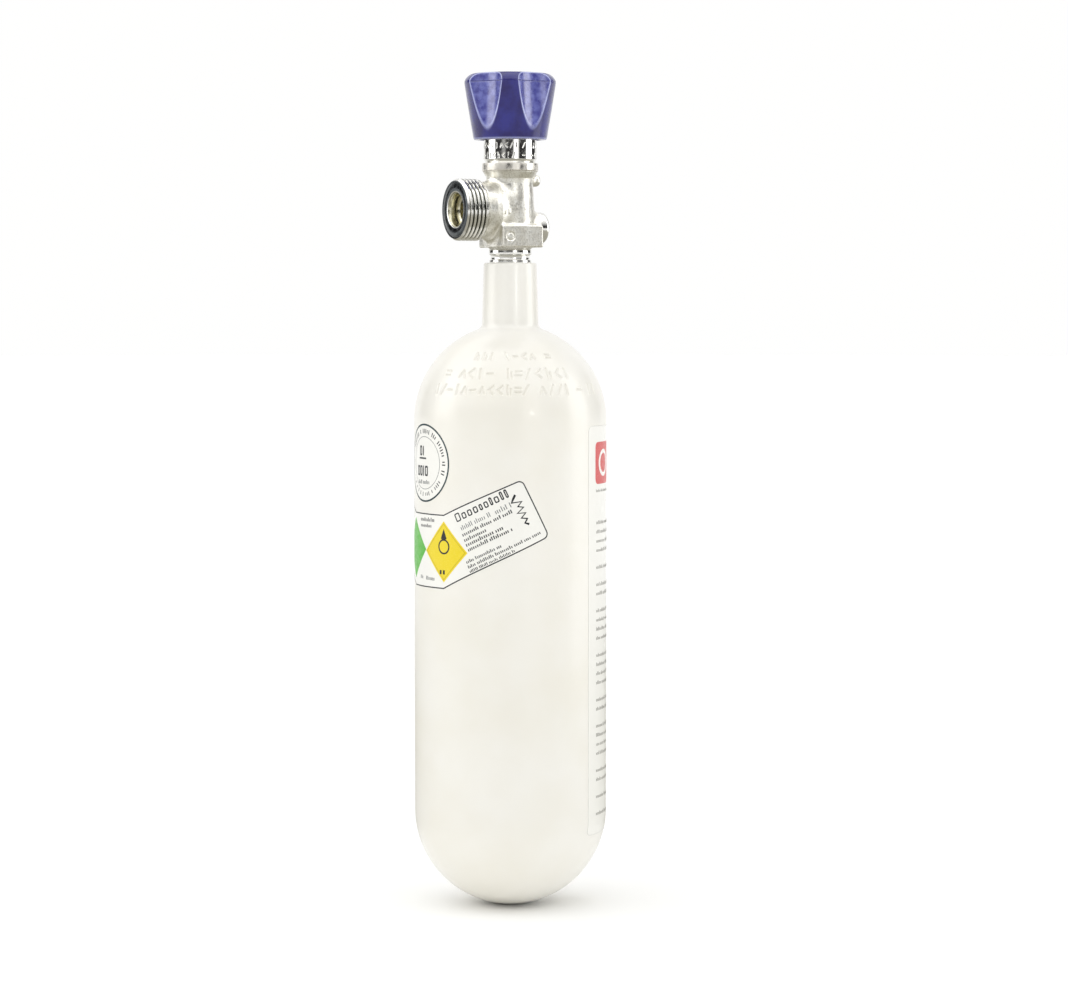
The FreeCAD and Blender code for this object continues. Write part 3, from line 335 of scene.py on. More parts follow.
class Nodes:
    """Adds nodes to a tree; an input takes a value or another node's output."""

    def __init__(self, tree):
        self.tree = tree

    def feed(self, socket, value):
        if isinstance(value, bpy.types.NodeSocket):
            self.tree.links.new(value, socket)
        else:
            socket.default_value = value

    def add(self, kind, output=0, settings=(), **inputs):
        node = self.tree.nodes.new("ShaderNode" + kind)
        for prop, value in settings:
            setattr(node, prop, value)
        for name, value in inputs.items():
            self.feed(node.inputs[name.replace("_", " ")], value)
        return node.outputs[output]

    def math(self, operation, *values):
        result = self.add("Math", 0, [("operation", operation)])
        for socket, value in zip(result.node.inputs, values):
            self.feed(socket, value)
        return result


class Finish(Nodes):
    """A material built up from a plain surface by noise, bumps and wear. Sizes are in millimetres."""

    def __init__(self, name, colour, roughness, **more):
        self.material = bpy.data.materials.new(name)
        self.material.use_nodes = True
        super().__init__(self.material.node_tree)
        self.shade = self.tree.nodes["Principled BSDF"]
        self.place = self.tree.nodes.new("ShaderNodeTexCoord").outputs["Object"]
        self.height = None
        self.put("Base_Color", colour)
        self.put("Roughness", roughness)
        for socket, value in more.items():
            self.put(socket, value)

    def put(self, socket, value):
        self.feed(self.shade.inputs[socket.replace("_", " ")], value)

    def noise(self, size, detail=2.0, stretch=(1, 1, 1)):
        place = self.add("Mapping", Vector=self.place, Scale=stretch)
        return self.add("TexNoise", Vector=place, Scale=1 / (size * MM), Detail=detail)

    def grains(self, size):
        return self.add("TexVoronoi", Vector=self.place, Scale=1 / (size * MM))

    def ranged(self, source, low, high, start=0.35, end=0.65):
        return self.add("MapRange", Value=source, From_Min=start, From_Max=end, To_Min=low, To_Max=high)

    def mixed(self, first, second, share):
        node = self.tree.nodes.new("ShaderNodeMix")
        node.data_type = "RGBA"
        for socket, value in zip((node.inputs[0], node.inputs[6], node.inputs[7]), (share, first, second)):
            self.feed(socket, value)
        return node.outputs[2]

    def bump(self, source, depth):
        """Adds a height, depth millimetres from its lowest to its highest."""
        extra = {"Normal": self.height} if self.height is not None else {}
        self.height = self.add("Bump", Height=source, Distance=depth * MM, **extra)
        self.put("Normal", self.height)

    def by_mask(self, name, without, full):
        """A value that goes from one end to the other with a mask that the mesh carries."""
        return self.add("MapRange", Value=self.mask(name), To_Min=without, To_Max=full)

    def mask(self, name):
        """Share of a named mask that the mesh carries."""
        return self.add("Attribute", "Fac", [("attribute_name", name)])


def paint_finish():
    """Ivory lacquer, sprayed: a faint orange peel, slow changes of tone and a few dull patches."""
    lacquer = Finish("ivory_lacquer", srgb(244, 242, 234), 0.3, Coat_Weight=0.35, Coat_Roughness=0.12)
    tone = lacquer.noise(38, 3)
    lacquer.put("Base_Color", lacquer.mixed(srgb(241, 239, 232), srgb(237, 234, 224),
                                            lacquer.ranged(tone, 0, 1)))
    lacquer.put("Roughness", lacquer.ranged(lacquer.noise(14, 2), 0.29, 0.35, 0.2, 0.8))
    lacquer.bump(lacquer.noise(1.6, 1), 0.012)
    lacquer.bump(lacquer.noise(0.5, 2), 0.003)
    return lacquer.material


def casting_finish():
    """Satin nickel on a forging: blasted grain, darker specks and slow unevenness."""
    metal = Finish("satin_nickel", srgb(226, 221, 212), 0.34, Metallic=1.0)
    blotch = metal.ranged(metal.noise(3.2, 5), 0, 1)
    plain = metal.mixed(srgb(245, 244, 238), srgb(229, 226, 216), blotch)
    specks = metal.ranged(metal.noise(0.75, 3), 0, 0.75, 0.48, 0.66)
    metal.put("Base_Color", metal.mixed(plain, srgb(200, 197, 186), specks))
    metal.put("Roughness", metal.ranged(metal.noise(0.8, 4), 0.28, 0.44))
    metal.bump(metal.noise(0.5, 3), 0.024)
    metal.bump(metal.grains(0.28), 0.012)
    metal.bump(metal.noise(4.5, 2), 0.07)
    return metal.material


def turned_finish(name, colour, roughness, stretch, ridge=0.004, root_shade=None):
    """Bright turned metal: fine lines round the piece, which stretch keeps along the turning axis. Root shade
    is the darker colour painted into a thread's roots as painted shade, where the mesh has a mask for it."""
    metal = Finish(name, colour, roughness, Metallic=1.0)
    if root_shade:
        metal.put("Base_Color", metal.mixed(colour, root_shade, metal.mask("root_shade")))
    lines = metal.noise(0.22, 2, stretch)
    metal.put("Roughness", metal.ranged(metal.noise(2.5, 4), roughness * 0.7, roughness * 1.6))
    metal.bump(lines, ridge)
    return metal.material


def shaded_face_finish():
    """Outlet's end face: steel-grey, its colour painted darker than the plating as painted shade for the dark
    surroundings it mirrors.
    """
    metal = Finish("turned_face", srgb(128, 133, 137), 0.24, Metallic=1.0)
    metal.put("Roughness", metal.ranged(metal.noise(2.0, 5), 0.18, 0.3))
    # dark base colours: painted shade standing in for a dark reflection
    metal.put("Base_Color", metal.mixed(srgb(66, 71, 74), srgb(94, 98, 100),
                                        metal.ranged(metal.noise(3.0, 4), 0, 1)))
    metal.bump(metal.noise(0.4, 3), 0.004)
    return metal.material


def plastic_finish():
    """Blue moulded plastic: dark lands, glossy rubbed flutes with a pale painted highlight along their rims
    and a dull crown.
    """
    plastic = Finish("blue_plastic", srgb(46, 40, 112), 0.3, Coat_Weight=0.3, Coat_Roughness=0.12)
    land = plastic.mixed(srgb(36, 30, 94), srgb(46, 46, 126), plastic.ranged(plastic.noise(7, 3), 0, 1))
    cloudy = plastic.ranged(plastic.noise(2.6, 6), 0, 1, 0.38, 0.62)
    flute = plastic.mixed(srgb(54, 55, 140), srgb(100, 105, 178), cloudy)
    colour = plastic.mixed(land, flute, plastic.mask("flute"))
    # pale colour along the flutes' edges and the lower rim, from the rim mask: painted highlight
    plastic.put("Base_Color", plastic.mixed(colour, srgb(176, 182, 228), plastic.mask("rim")))
    gloss = plastic.by_mask("crown", 0.35, 0.0)
    plastic.put("Specular_IOR_Level", plastic.by_mask("flute", gloss, 1.0))
    coat = plastic.by_mask("crown", 0.3, 0.0)
    plastic.put("Coat_Weight", plastic.by_mask("flute", coat, 0.8))
    shine = plastic.ranged(plastic.noise(2.4, 5), 0.16, 0.24)
    frosted = plastic.add("MapRange", Value=plastic.mask("flute"), From_Max=3.0, To_Min=shine, To_Max=0.46)
    plastic.put("Roughness", plastic.by_mask("crown", frosted, 0.6))
    plastic.bump(plastic.noise(0.45, 3), 0.02)
    plastic.bump(plastic.noise(2.4, 3), 0.05)
    return plastic.material


def film_finish():
    """White label film under a clear varnish, very slightly uneven where it is stuck down."""
    film = Finish("label_film", srgb(243, 242, 236), 0.24, Coat_Weight=0.3, Coat_Roughness=0.08)
    film.put("Roughness", film.ranged(film.noise(9, 2), 0.22, 0.28, 0.2, 0.8))
    film.bump(film.noise(6, 1), 0.006)
    return film.material


def ink_finish(name, colour, wear_and_highlight):
    """Printing ink that lets a little of the film through in specks."""
    ink = Finish(name, colour, 0.35)
    ink.put("Base_Color", ink.mixed(colour, wear_and_highlight, ink.ranged(ink.noise(0.5, 4), 0, 0.5, 0.5, 0.75)))
    ink.put("Roughness", ink.ranged(ink.noise(1.5, 3), 0.28, 0.44))
    ink.bump(ink.noise(0.3, 2), 0.002)
    return ink.material


def dull_finish(name, colour, roughness, metallic=0.0):
    """Plain inner pieces: rubber, seal plastic and spring wire, each with fine grain and uneven gloss."""
    plain = Finish(name, colour, roughness, Metallic=metallic)
    plain.put("Roughness", plain.ranged(plain.noise(1.5, 3), roughness * 0.8, min(1.0, roughness * 1.25)))
    plain.bump(plain.noise(0.35, 2), 0.01)
    return plain.material


LACQUER = paint_finish()
NICKEL = casting_finish()
SATIN_RING = turned_finish("satin_ring", srgb(228, 224, 216), 0.3, (0.02, 0.02, 1), 0.01)
UPRIGHT_CHROME = turned_finish("turned_plating", srgb(232, 231, 227), 0.1, (0.02, 0.02, 1))
# the outlet's plating carries a darker colour in its thread roots: painted shade
CHROME_Y = turned_finish("turned_plating_outlet", srgb(230, 229, 225), 0.12, (0.02, 1, 0.02), 0.0015,
                         srgb(116, 120, 113))
SHADED_FACE = shaded_face_finish()
BRASS_Y = turned_finish("turned_brass_outlet", srgb(206, 202, 180), 0.16, (0.02, 1, 0.02))
BRASS = turned_finish("turned_brass", srgb(218, 190, 124), 0.22, (0.02, 0.02, 1))
PLASTIC = plastic_finish()
FILM = film_finish()
INK_DARK = ink_finish("ink_slate", srgb(20, 26, 32), srgb(66, 72, 78))
INK_GREY = ink_finish("ink_grey", srgb(98, 102, 104), srgb(160, 162, 162))
INK_SOFT = ink_finish("ink_soft", srgb(132, 130, 124), srgb(184, 182, 176))
INK_PALE = ink_finish("ink_pale", srgb(214, 213, 208), srgb(230, 229, 224))
INK_TEAL = ink_finish("ink_teal", srgb(12, 46, 52), srgb(46, 82, 86))
INK_YELLOW = ink_finish("ink_yellow", srgb(236, 212, 30), srgb(244, 226, 90))
INK_OCHRE = ink_finish("ink_ochre", srgb(196, 170, 20), srgb(214, 196, 60))
INK_GREEN = ink_finish("ink_green", srgb(88, 184, 62), srgb(150, 212, 130))
INK_RED = ink_finish("ink_red", srgb(214, 92, 92), srgb(236, 150, 148))
RUBBER = dull_finish("black_rubber", srgb(34, 34, 36), 0.7)
SEAL = dull_finish("white_seal", srgb(232, 230, 222), 0.45)
STEEL = dull_finish("spring_steel", srgb(178, 180, 184), 0.3, 1.0)


# ---- stamped and engraved marks: rows of short strokes that spell nothing ----

STROKE_SETS = (
    (((-0.3, -0.5), (0.3, 0.5)),),
    (((-0.35, 0.0), (0.35, 0.0)),),
    (((0.0, -0.5), (0.0, 0.5)),),
    (((-0.35, 0.22), (0.35, 0.22)), ((-0.35, -0.22), (0.35, -0.22))),
    (((0.3, -0.45), (-0.3, 0.0)), ((-0.3, 0.0), (0.3, 0.45))),
    (((-0.3, 0.5), (0.3, -0.5)),),
    (((-0.35, -0.4), (0.0, 0.3)), ((0.0, 0.3), (0.35, -0.4))),
    (((-0.15, -0.5), (-0.15, 0.5)), ((0.25, -0.5), (0.25, 0.1))),
)


def stamp_row(start, end, middle, height, pitch, draw, gaps=0.2):
    """Strokes of one row from start to end, each two (along, up) points."""
    strokes = []
    along = start
    while along <= end:
        if draw.random() > gaps:
            tilt = draw.uniform(-0.08, 0.08)
            for ends in draw.choice(STROKE_SETS):
                strokes.append([(along + (x + y * tilt) * height * 0.8,
                                 middle + y * height + draw.uniform(-0.03, 0.03) * height)
                                for x, y in ends])
        along += pitch * draw.uniform(0.9, 1.15)
    return strokes


def stroke_relief(along, up, strokes, width, depth, lip=0.0):
    """Height of a surface with strokes pressed into it: below zero in a stroke, a low lip beside it."""
    near = np.full(np.broadcast(along, up).shape, np.inf)
    for (x0, y0), (x1, y1) in strokes:
        length = (x1 - x0) ** 2 + (y1 - y0) ** 2
        share = np.clip(((along - x0) * (x1 - x0) + (up - y0) * (y1 - y0)) / length, 0, 1)
        near = np.minimum(near, np.hypot(along - x0 - share * (x1 - x0), up - y0 - share * (y1 - y0)))
    press = np.clip(1 - near / width, 0, 1)
    press = press * press * (3 - 2 * press)
    ridge = np.exp(-((near - 1.25 * width) / (0.35 * width)) ** 2)
    return lip * ridge - depth * press


# ---- the bottle ----

DOME_TOP = NECK_TOP - 67.7                       # height where the upper dome starts
NECK_ROOT, NECK_TIP = 12.15, 11.45
NECK_BLEND = 3.0
MOUTH_ROUND = 0.9
MOUTH, MOUTH_TAPER, STEM_LENGTH = 8.73, 1.32, 22.0
WALL, CROWN_WALL = 3.0, 4.0
CAMERA_SIDE = -27.2                              # direction of the stamped side, from +X
STAMP_WIDTH, STAMP_DEPTH, STAMP_LIP = 0.68, 0.5, 0.1
STAMP_ROWS = (                                   # elevation on the dome, from, to, height, pitch
    (42.5, -27, 36, 3.6, 3.3),
    (30.2, -47, 42, 4.6, 4.0),
    (19.6, -52, 66, 4.2, 3.7),
)
STAMP_LOW, STAMP_HIGH = 15.5, 47.0               # stretch of the dome with a fine mesh


def neck_fillet():
    """Blend between the upper dome and the neck, as points from the dome to the neck."""
    outer = BARREL + NECK_BLEND
    reach = NECK_ROOT + NECK_BLEND
    centre = Vector((reach, DOME_TOP + math.sqrt(outer ** 2 - reach ** 2)))
    touch = Vector((0, DOME_TOP)) + (centre - Vector((0, DOME_TOP))) * BARREL / outer
    first = math.atan2(touch.y - centre.y, touch.x - centre.x)
    steps = 10
    return [(centre.x + NECK_BLEND * math.cos(first + (-math.pi - first) * k / steps),
             centre.y + NECK_BLEND * math.sin(first + (-math.pi - first) * k / steps))
            for k in range(steps + 1)]


def dome(radius, centre, start, end, step):
    """Points of a dome's meridian between two elevations."""
    count = max(1, round(abs(end - start) / step))
    elevations = [math.radians(start + (end - start) * k / count) for k in range(count + 1)]
    return [(radius * math.cos(e), centre + radius * math.sin(e)) for e in elevations]


def shell_outline():
    fillet = neck_fillet()
    last = math.degrees(math.atan2(fillet[0][1] - DOME_TOP, fillet[0][0]))
    barrel_step = 6
    outline = dome(BARREL, BARREL, -90, 0, 2)
    outline += [(BARREL, BARREL + (DOME_TOP - BARREL) * k / barrel_step) for k in range(1, barrel_step)]
    outline += dome(BARREL, DOME_TOP, 0, STAMP_LOW, 1.5)
    outline += dome(BARREL, DOME_TOP, STAMP_LOW, STAMP_HIGH, 0.34)[1:]
    outline += dome(BARREL, DOME_TOP, STAMP_HIGH, last, 1.5)[1:-1]
    outline += fillet
    inner = BARREL - WALL
    inner_low, bore = CROWN_WALL + inner, MOUTH - MOUTH_TAPER
    inner_high = DOME_TOP + BARREL - inner_low
    outline += arc((NECK_TIP, NECK_TOP - MOUTH_ROUND), (NECK_TIP - MOUTH_ROUND, NECK_TOP), MOUTH_ROUND, 6)
    outline += [(MOUTH + 0.3, NECK_TOP), (MOUTH, NECK_TOP - 0.3), (bore, NECK_TOP - STEM_LENGTH)]
    start = math.degrees(math.acos(bore / inner))
    outline += dome(inner, inner_high, start, 0, 6)
    outline += dome(inner, inner_low, 0, -90, 6)
    return outline


def stamp_angles():
    """Angles round the bottle: fine where the strokes are, coarse elsewhere."""
    first = math.radians(CAMERA_SIDE + min(row[1] for row in STAMP_ROWS) - 5)
    last = math.radians(CAMERA_SIDE + max(row[2] for row in STAMP_ROWS) + 5)
    fine = np.arange(first, last, math.radians(0.4))
    rest = np.linspace(last, first + 2 * math.pi, 90, endpoint=False)
    return np.concatenate([fine, rest])


def shell_relief(angles, radii, heights):
    """Stamped strokes on the shoulder, measured along the dome and round it."""
    draw = random.Random(11)
    height = np.zeros(np.broadcast(angles, radii).shape)
    elevation = np.degrees(np.arctan2(heights - DOME_TOP, radii))
    outside = np.hypot(radii, heights - DOME_TOP) > BARREL - 0.1
    stamped = outside & (elevation > STAMP_LOW) & (elevation < STAMP_HIGH)
    turn = np.degrees(angles) - CAMERA_SIDE
    for level, start, end, size, pitch in STAMP_ROWS:
        scale = math.radians(1) * BARREL * math.cos(math.radians(level))
        strokes = stamp_row(start * scale, end * scale, 0, size, pitch, draw)
        up = (elevation - level) * math.radians(1) * BARREL
        height += stroke_relief(turn * scale, up, strokes, STAMP_WIDTH, STAMP_DEPTH, STAMP_LIP)
    return np.where(stamped, height, 0)


def make_shell():
    points, faces = lathe(shell_outline(), angles=stamp_angles(), relief=shell_relief)
    make_piece("cylinder_shell_lacquered", points, faces, [LACQUER], "bottle",
               ["cylinder_shell"])


# ---- the valve casting ----

BLOCK_LOW = (-11.3, -9.5, 285.0)
BLOCK_HIGH = (11.3, 10.3, 294.5)
THREAD_LENGTH, THREAD_PITCH, THREAD_DEPTH = 10.9, 1.814, 1.162
THREAD_START = OUTLET_TIP - THREAD_LENGTH
RING_BOTTOM, RING_RADIUS, RING_BORE = 317.6, 12.06, 7.53
TRUNK = ((285.0, 10.5), (301.0, 10.45), (312.5, 9.75), (314.6, 10.0), (317.6, 11.75))
BRANCH = ((-1.0, 7.0), (4.0, 9.0), (9.2, 11.75), (12.0, 12.1), (THREAD_START, 12.1))
LUG_HEIGHT, LUG_RADIUS, LUG_REACH = 313.9, 2.6, 14.1
OUTLET_BORE, OUTLET_BORE_DEPTH = 7.6, 14.0
BOSS_RADIUS, BOSS_REACH = 7.3, 11.5
PUNCH_PLACE, PUNCH_RADIUS, PUNCH_DEPTH = (-5.4, 289.7), 1.65, 0.35
RAISED_MARKS = ((-5.6, 300.4, 1.7), (-7.9, 300.0, 1.4))   # y, z and height of small cast marks


def casting_distance(p):
    outlet = (0, 0, OUTLET_HEIGHT)
    trunk = rod(p, UP, TRUNK[0][0] - 4, TRUNK[-1][0], TRUNK)
    branch = rod(p, OUTLET_WAY, BRANCH[0][0], BRANCH[-1][0], BRANCH, outlet)
    body = join(trunk, branch, 4.2)
    boss = rod(p, REAR_WAY, 0, BOSS_REACH, BOSS_RADIUS, (0, 0, PLUG_HEIGHT))
    lug = rod(p, REAR_WAY, 0, LUG_REACH, LUG_RADIUS, (0, 0, LUG_HEIGHT), 2.2)
    body = join(join(body, boss, 1.6), lug, 2.0)
    body = join(body, block(p, BLOCK_LOW, BLOCK_HIGH, 0.75), 1.5)
    side = np.hypot(p[:, 1] - PUNCH_PLACE[0], p[:, 2] - PUNCH_PLACE[1])
    punch = np.hypot(side - PUNCH_RADIUS, p[:, 0] - BLOCK_HIGH[0]) - PUNCH_DEPTH
    body = carve(body, punch, 0.3)
    for y, z, tall in RAISED_MARKS:
        surface = np.maximum(np.abs(p[:, 1] - y) - 0.32, np.abs(p[:, 2] - z) - tall / 2)
        mark = np.maximum(np.maximum(surface, body - 0.28), -p[:, 0])
        body = join(body, mark, 0.35)
    return body


def casting_with_bores(p):
    body = np.maximum(casting_distance(p), BLOCK_LOW[2] - p[:, 2])
    outlet, plug = (0, 0, OUTLET_HEIGHT), (0, 0, PLUG_HEIGHT)
    chamber = np.maximum(rod(p, UP, 297.0, RING_TOP, 6.05), -rod(p, UP, 290.0, 298.0, 3.2))
    for bore in (chamber, rod(p, UP, 290.0, 300.0, 1.75), rod(p, UP, 280.0, 295.2, 2.5),
                 rod(p, UP, GLAND_LOW.z, RING_TOP + 5, 7.5),
                 rod(p, OUTLET_WAY, OUTLET_TIP - OUTLET_BORE_DEPTH, OUTLET_TIP, OUTLET_BORE, outlet),
                 rod(p, OUTLET_WAY, 0, OUTLET_TIP, 2.0, outlet),
                 rod(p, REAR_WAY, 0, BOSS_REACH, 1.5, plug),
                 rod(p, REAR_WAY, 7.6, BOSS_REACH + 5, 5.0, plug)):
        body = carve(body, bore, 0.2)
    return body


def make_casting():
    low = (-12.6, -THREAD_START - 0.5, BLOCK_LOW[2] - 0.5)
    high = (12.6, LUG_REACH + 0.5, RING_BOTTOM + 0.5)
    points, faces = net(casting_with_bores, low, high, 0.27)
    make_piece("valve_casting", points, faces, [NICKEL], "bottle", ["valve_body"],
               crease=60)


def make_valve_ring():
    """Turned ring at the top of the casting, under the gland."""
    outline = soften([(RING_BORE, RING_BOTTOM), (RING_RADIUS - 0.2, RING_BOTTOM, 0.25),
                      (RING_RADIUS, RING_BOTTOM + 0.5, 0.2), (RING_RADIUS, RING_TOP, 0.35),
                      (RING_BORE, RING_TOP)])
    points, faces = lathe(outline, 128)
    make_piece("valve_ring", points, faces, [SATIN_RING], "bottle", ["valve_body"])


def make_stem():
    """Stem in the neck with flange, groove and collar above it, down to the gas passage."""
    tip = NECK_TOP - STEM_LENGTH
    top = BLOCK_LOW[2]
    outline = soften([
        (3.02, tip), (7.38, tip, 0.3), (8.7, NECK_TOP), (9.15, NECK_TOP + 0.02, 0.01),
        (9.15, NECK_TOP + 1.1, 0.3), (8.6, NECK_TOP + 1.35, 0.3), (8.45, NECK_TOP + 2.1, 0.4),
        (8.6, NECK_TOP + 3.2, 0.3), (9.25, NECK_TOP + 3.5, 0.25), (9.25, NECK_TOP + 5.3, 0.5),
        (8.9, NECK_TOP + 5.8, 0.2), (9.9, top, 0.1), (2.5, top), (2.5, tip + 8.5), (3.02, tip + 8.5)])
    points, faces = lathe(outline, 128)
    make_piece("valve_stem", points, faces, [UPRIGHT_CHROME], "bottle", ["valve_body"])


def thread_radius(phase):
    """Radius of the outlet's thread at a phase, which is a whole number on each crest."""
    crest, floor = 0.2, 0.07
    ramp = (1 - 2 * crest - 2 * floor) / 2
    from_crest = np.abs((phase + 0.5) % 1 - 0.5)
    share = np.clip((from_crest - crest) / ramp, 0, 1)
    share = share * share * (3 - 2 * share) * 0.3 + share * 0.7
    return THREAD_RADIUS - THREAD_DEPTH * share


def make_outlet_thread():
    """Threaded end of the outlet: helical crests between two bevels, a turned face and the bore."""
    columns, step = 192, 0.075
    bevel, lip = 1.05, 0.35
    along = np.arange(0, THREAD_LENGTH + step / 2, THREAD_LENGTH / round(THREAD_LENGTH / step))
    angles = np.arange(columns) * 2 * math.pi / columns
    phase = along[:, None] / THREAD_PITCH - angles[None, :] / (2 * math.pi)
    radius = thread_radius(phase)
    runout = THREAD_LENGTH - 1.1
    envelope = np.interp(along, [0, bevel, THREAD_LENGTH - bevel, THREAD_LENGTH],
                         [THREAD_RADIUS - 1.15, THREAD_RADIUS, THREAD_RADIUS, THREAD_RADIUS - 0.8])
    plain = np.clip((along - runout) / 0.5, 0, 1)[:, None]
    radius = np.minimum(radius * (1 - plain) + THREAD_RADIUS * plain, envelope[:, None])
    # end face with two shallow rings, then the bore and the hidden back face
    face = [(12.1, 0.0), (11.9, -0.12), (11.65, -0.12), (11.5, 0.0), (8.5, 0.0), (8.25, -0.1),
            (OUTLET_BORE + lip, -0.1), (OUTLET_BORE, -lip), (OUTLET_BORE, -THREAD_LENGTH + 0.02)]
    rows_r = np.array([r for r, _ in face])
    rows_z = np.array([THREAD_LENGTH + z for _, z in face])
    spread = np.concatenate([radius, np.repeat(rows_r[:, None], columns, axis=1)])
    rise = np.concatenate([along, rows_z])[:, None] * np.ones(columns)
    points = turned_points(spread, rise, angles, (0, -THREAD_START, OUTLET_HEIGHT), OUTLET_WAY)

    # faces on the end face take the darker face finish, which holds painted shade
    def paint(middles):
        radius = np.hypot(middles[:, 0], middles[:, 2] - OUTLET_HEIGHT)
        return (middles[:, 1] < -OUTLET_TIP + 0.3) & (radius > OUTLET_BORE + lip) & (radius < 12.3)

    # share of the painted shade in the thread's roots, deepest where the thread is cut deepest, faded out at
    # both bevels
    def root_shade(places):
        depth = THREAD_RADIUS - np.hypot(places[:, 0], places[:, 2] - OUTLET_HEIGHT)
        ends = [THREAD_START + bevel, THREAD_START + 2 * bevel,
                OUTLET_TIP - 1.5 * bevel, OUTLET_TIP - 0.6 * bevel]
        threaded = np.interp(-places[:, 1], ends, [0, 1, 1, 0])
        return np.clip((depth - 0.4) / 0.6, 0, 1) * threaded

    faces = grid_faces(*spread.shape)
    make_piece("outlet_thread", points, faces, [CHROME_Y, SHADED_FACE], "bottle",
               ["valve_body"], crease=50, paint=paint, masks={"root_shade": root_shade})


def make_insert():
    """Brass sleeve in the outlet: socket, step, narrower bore and floor."""
    length = INSERT_HIGH.y - INSERT_LOW.y
    outer = (INSERT_HIGH.x - INSERT_LOW.x) / 2
    step = length - 4.0
    outline = soften([(2.0, 0), (outer, 0), (outer, length, 0.15), (7.25, length, 0.12), (7.0, length - 0.3),
                      (7.0, step), (6.2, step, 0.2), (5.6, step - 0.6), (5.6, 1.6), (3.4, 1.6, 0.3),
                      (2.0, 0.9)])
    points, faces = lathe(outline, 128, (0, INSERT_HIGH.y, OUTLET_HEIGHT), OUTLET_WAY)
    make_piece("outlet_insert_turned", points, faces, [BRASS_Y], "bottle", ["outlet_insert"])


def make_safety_plug():
    """Domed plug at the rear with a hexagon socket and a vent."""
    length = PLUG_HIGH.y - PLUG_LOW.y
    head, thread, socket, vent = (PLUG_HIGH.x - PLUG_LOW.x) / 2, 4.97, 2.5, 1.2
    shank = BOSS_REACH - PLUG_LOW.y
    deep = length - 3.0
    outline = soften([(vent, 0), (thread, 0, 0.3), (thread, shank), (head, shank, 0.25),
                      (head, length, 1.6), (socket + 0.35, length, 0.15), (socket, length - 0.35),
                      (socket, deep), (vent, deep - 0.3)])
    points, faces = lathe(outline, 120, (0, PLUG_LOW.y, PLUG_HEIGHT), REAR_WAY,
                          hexagonal=lambda r, z: z > deep - 0.1 and 2 < r < 3.2)
    make_piece("safety_plug_turned", points, faces, [CHROME_Y], "bottle",
               ["safety_plug"])


# ---- the gland ----

GLAND_RADIUS, GLAND_TOP = 11.4, 334.0
GLAND_BORE, GLAND_THREAD = 4.05, 7.47
ENGRAVED_ROWS = ((328.5, 2.1), (324.3, 2.1))     # height of the row's middle, height of its strokes


def gland_outline():
    groove_low, groove_high = 314.79, 316.01
    rows = np.arange(RING_TOP + 1.5, 331.5, 0.14)
    outline = soften([(GLAND_BORE, GLAND_LOW.z), (GLAND_THREAD, GLAND_LOW.z, 0.2),
                      (GLAND_THREAD, groove_low), (6.32, groove_low), (6.32, groove_high),
                      (GLAND_THREAD, groove_high), (GLAND_THREAD, RING_TOP + 0.02),
                      (GLAND_RADIUS - 0.3, RING_TOP + 0.02), (GLAND_RADIUS, RING_TOP + 0.4, 0.2)])
    outline += [(GLAND_RADIUS, height) for height in rows]
    outline += soften([(GLAND_RADIUS, 332.0), (GLAND_RADIUS, GLAND_TOP, 0.6), (8.5, GLAND_TOP),
                       (8.5, GLAND_HIGH.z, 0.3), (GLAND_BORE + 0.3, GLAND_HIGH.z),
                       (GLAND_BORE, GLAND_HIGH.z - 0.3)])
    return outline


def gland_relief(angles, radii, heights):
    draw = random.Random(5)
    around = GLAND_RADIUS * 2 * math.pi
    height = np.zeros(np.broadcast(angles, radii).shape)
    for middle, size in ENGRAVED_ROWS:
        strokes = stamp_row(0.8, around - 2.2, 0, size, 2.15, draw, 0.12)
        height += stroke_relief(angles * GLAND_RADIUS, heights - middle, strokes, 0.27, 0.16)
    return np.where((radii > GLAND_RADIUS - 0.01) & (heights < 331.6), height, 0)


def make_gland():
    points, faces = lathe(gland_outline(), 540, relief=gland_relief,
                          hexagonal=lambda r, z: z > GLAND_TOP - 0.01 and 7 < r < 8.6)
    make_piece("gland_nut_engraved", points, faces, [UPRIGHT_CHROME], "bottle",
               ["gland_nut"])


# ---- the handwheel ----

RIM, BROW, BROW_HEIGHT = 15.7, -WHEEL_LOW.x, 355.7
CROWN_TURN, CROWN_ROUND = (16.0, 359.35), 5.2
CROWN_RADIUS = 171.0                             # of the nearly flat dome on top
MOUTH_OF_WHEEL, MOUTH_DEPTH = 13.2, 4.0
HOLLOW, HOLLOW_TOP = 12.0, 356.0
HUB, HUB_BOTTOM = 9.8, 341.0
BUSH_HOLE, WEB_TOP, WELL = 6.02, 350.0, 8.0
FLUTES, FLUTE_PHASE, FLUTE_RADIUS = 5, 8.8, 14.2
FLUTE_FLOOR = ((335.7, 16.47), (355.7, 15.1), (360.1, 14.7))   # height and distance from the axis
PARTING_LINE = 0.13
FLUTE_EDGE = 0.3                                 # rounding of the flutes' edges


def crown(start, end):
    """Outline of the flat dome on top of the knob, from one radius to another."""
    return [(r, WHEEL_TOP - CROWN_RADIUS + math.sqrt(CROWN_RADIUS ** 2 - r * r))
            for r in np.linspace(start, end, 10)]


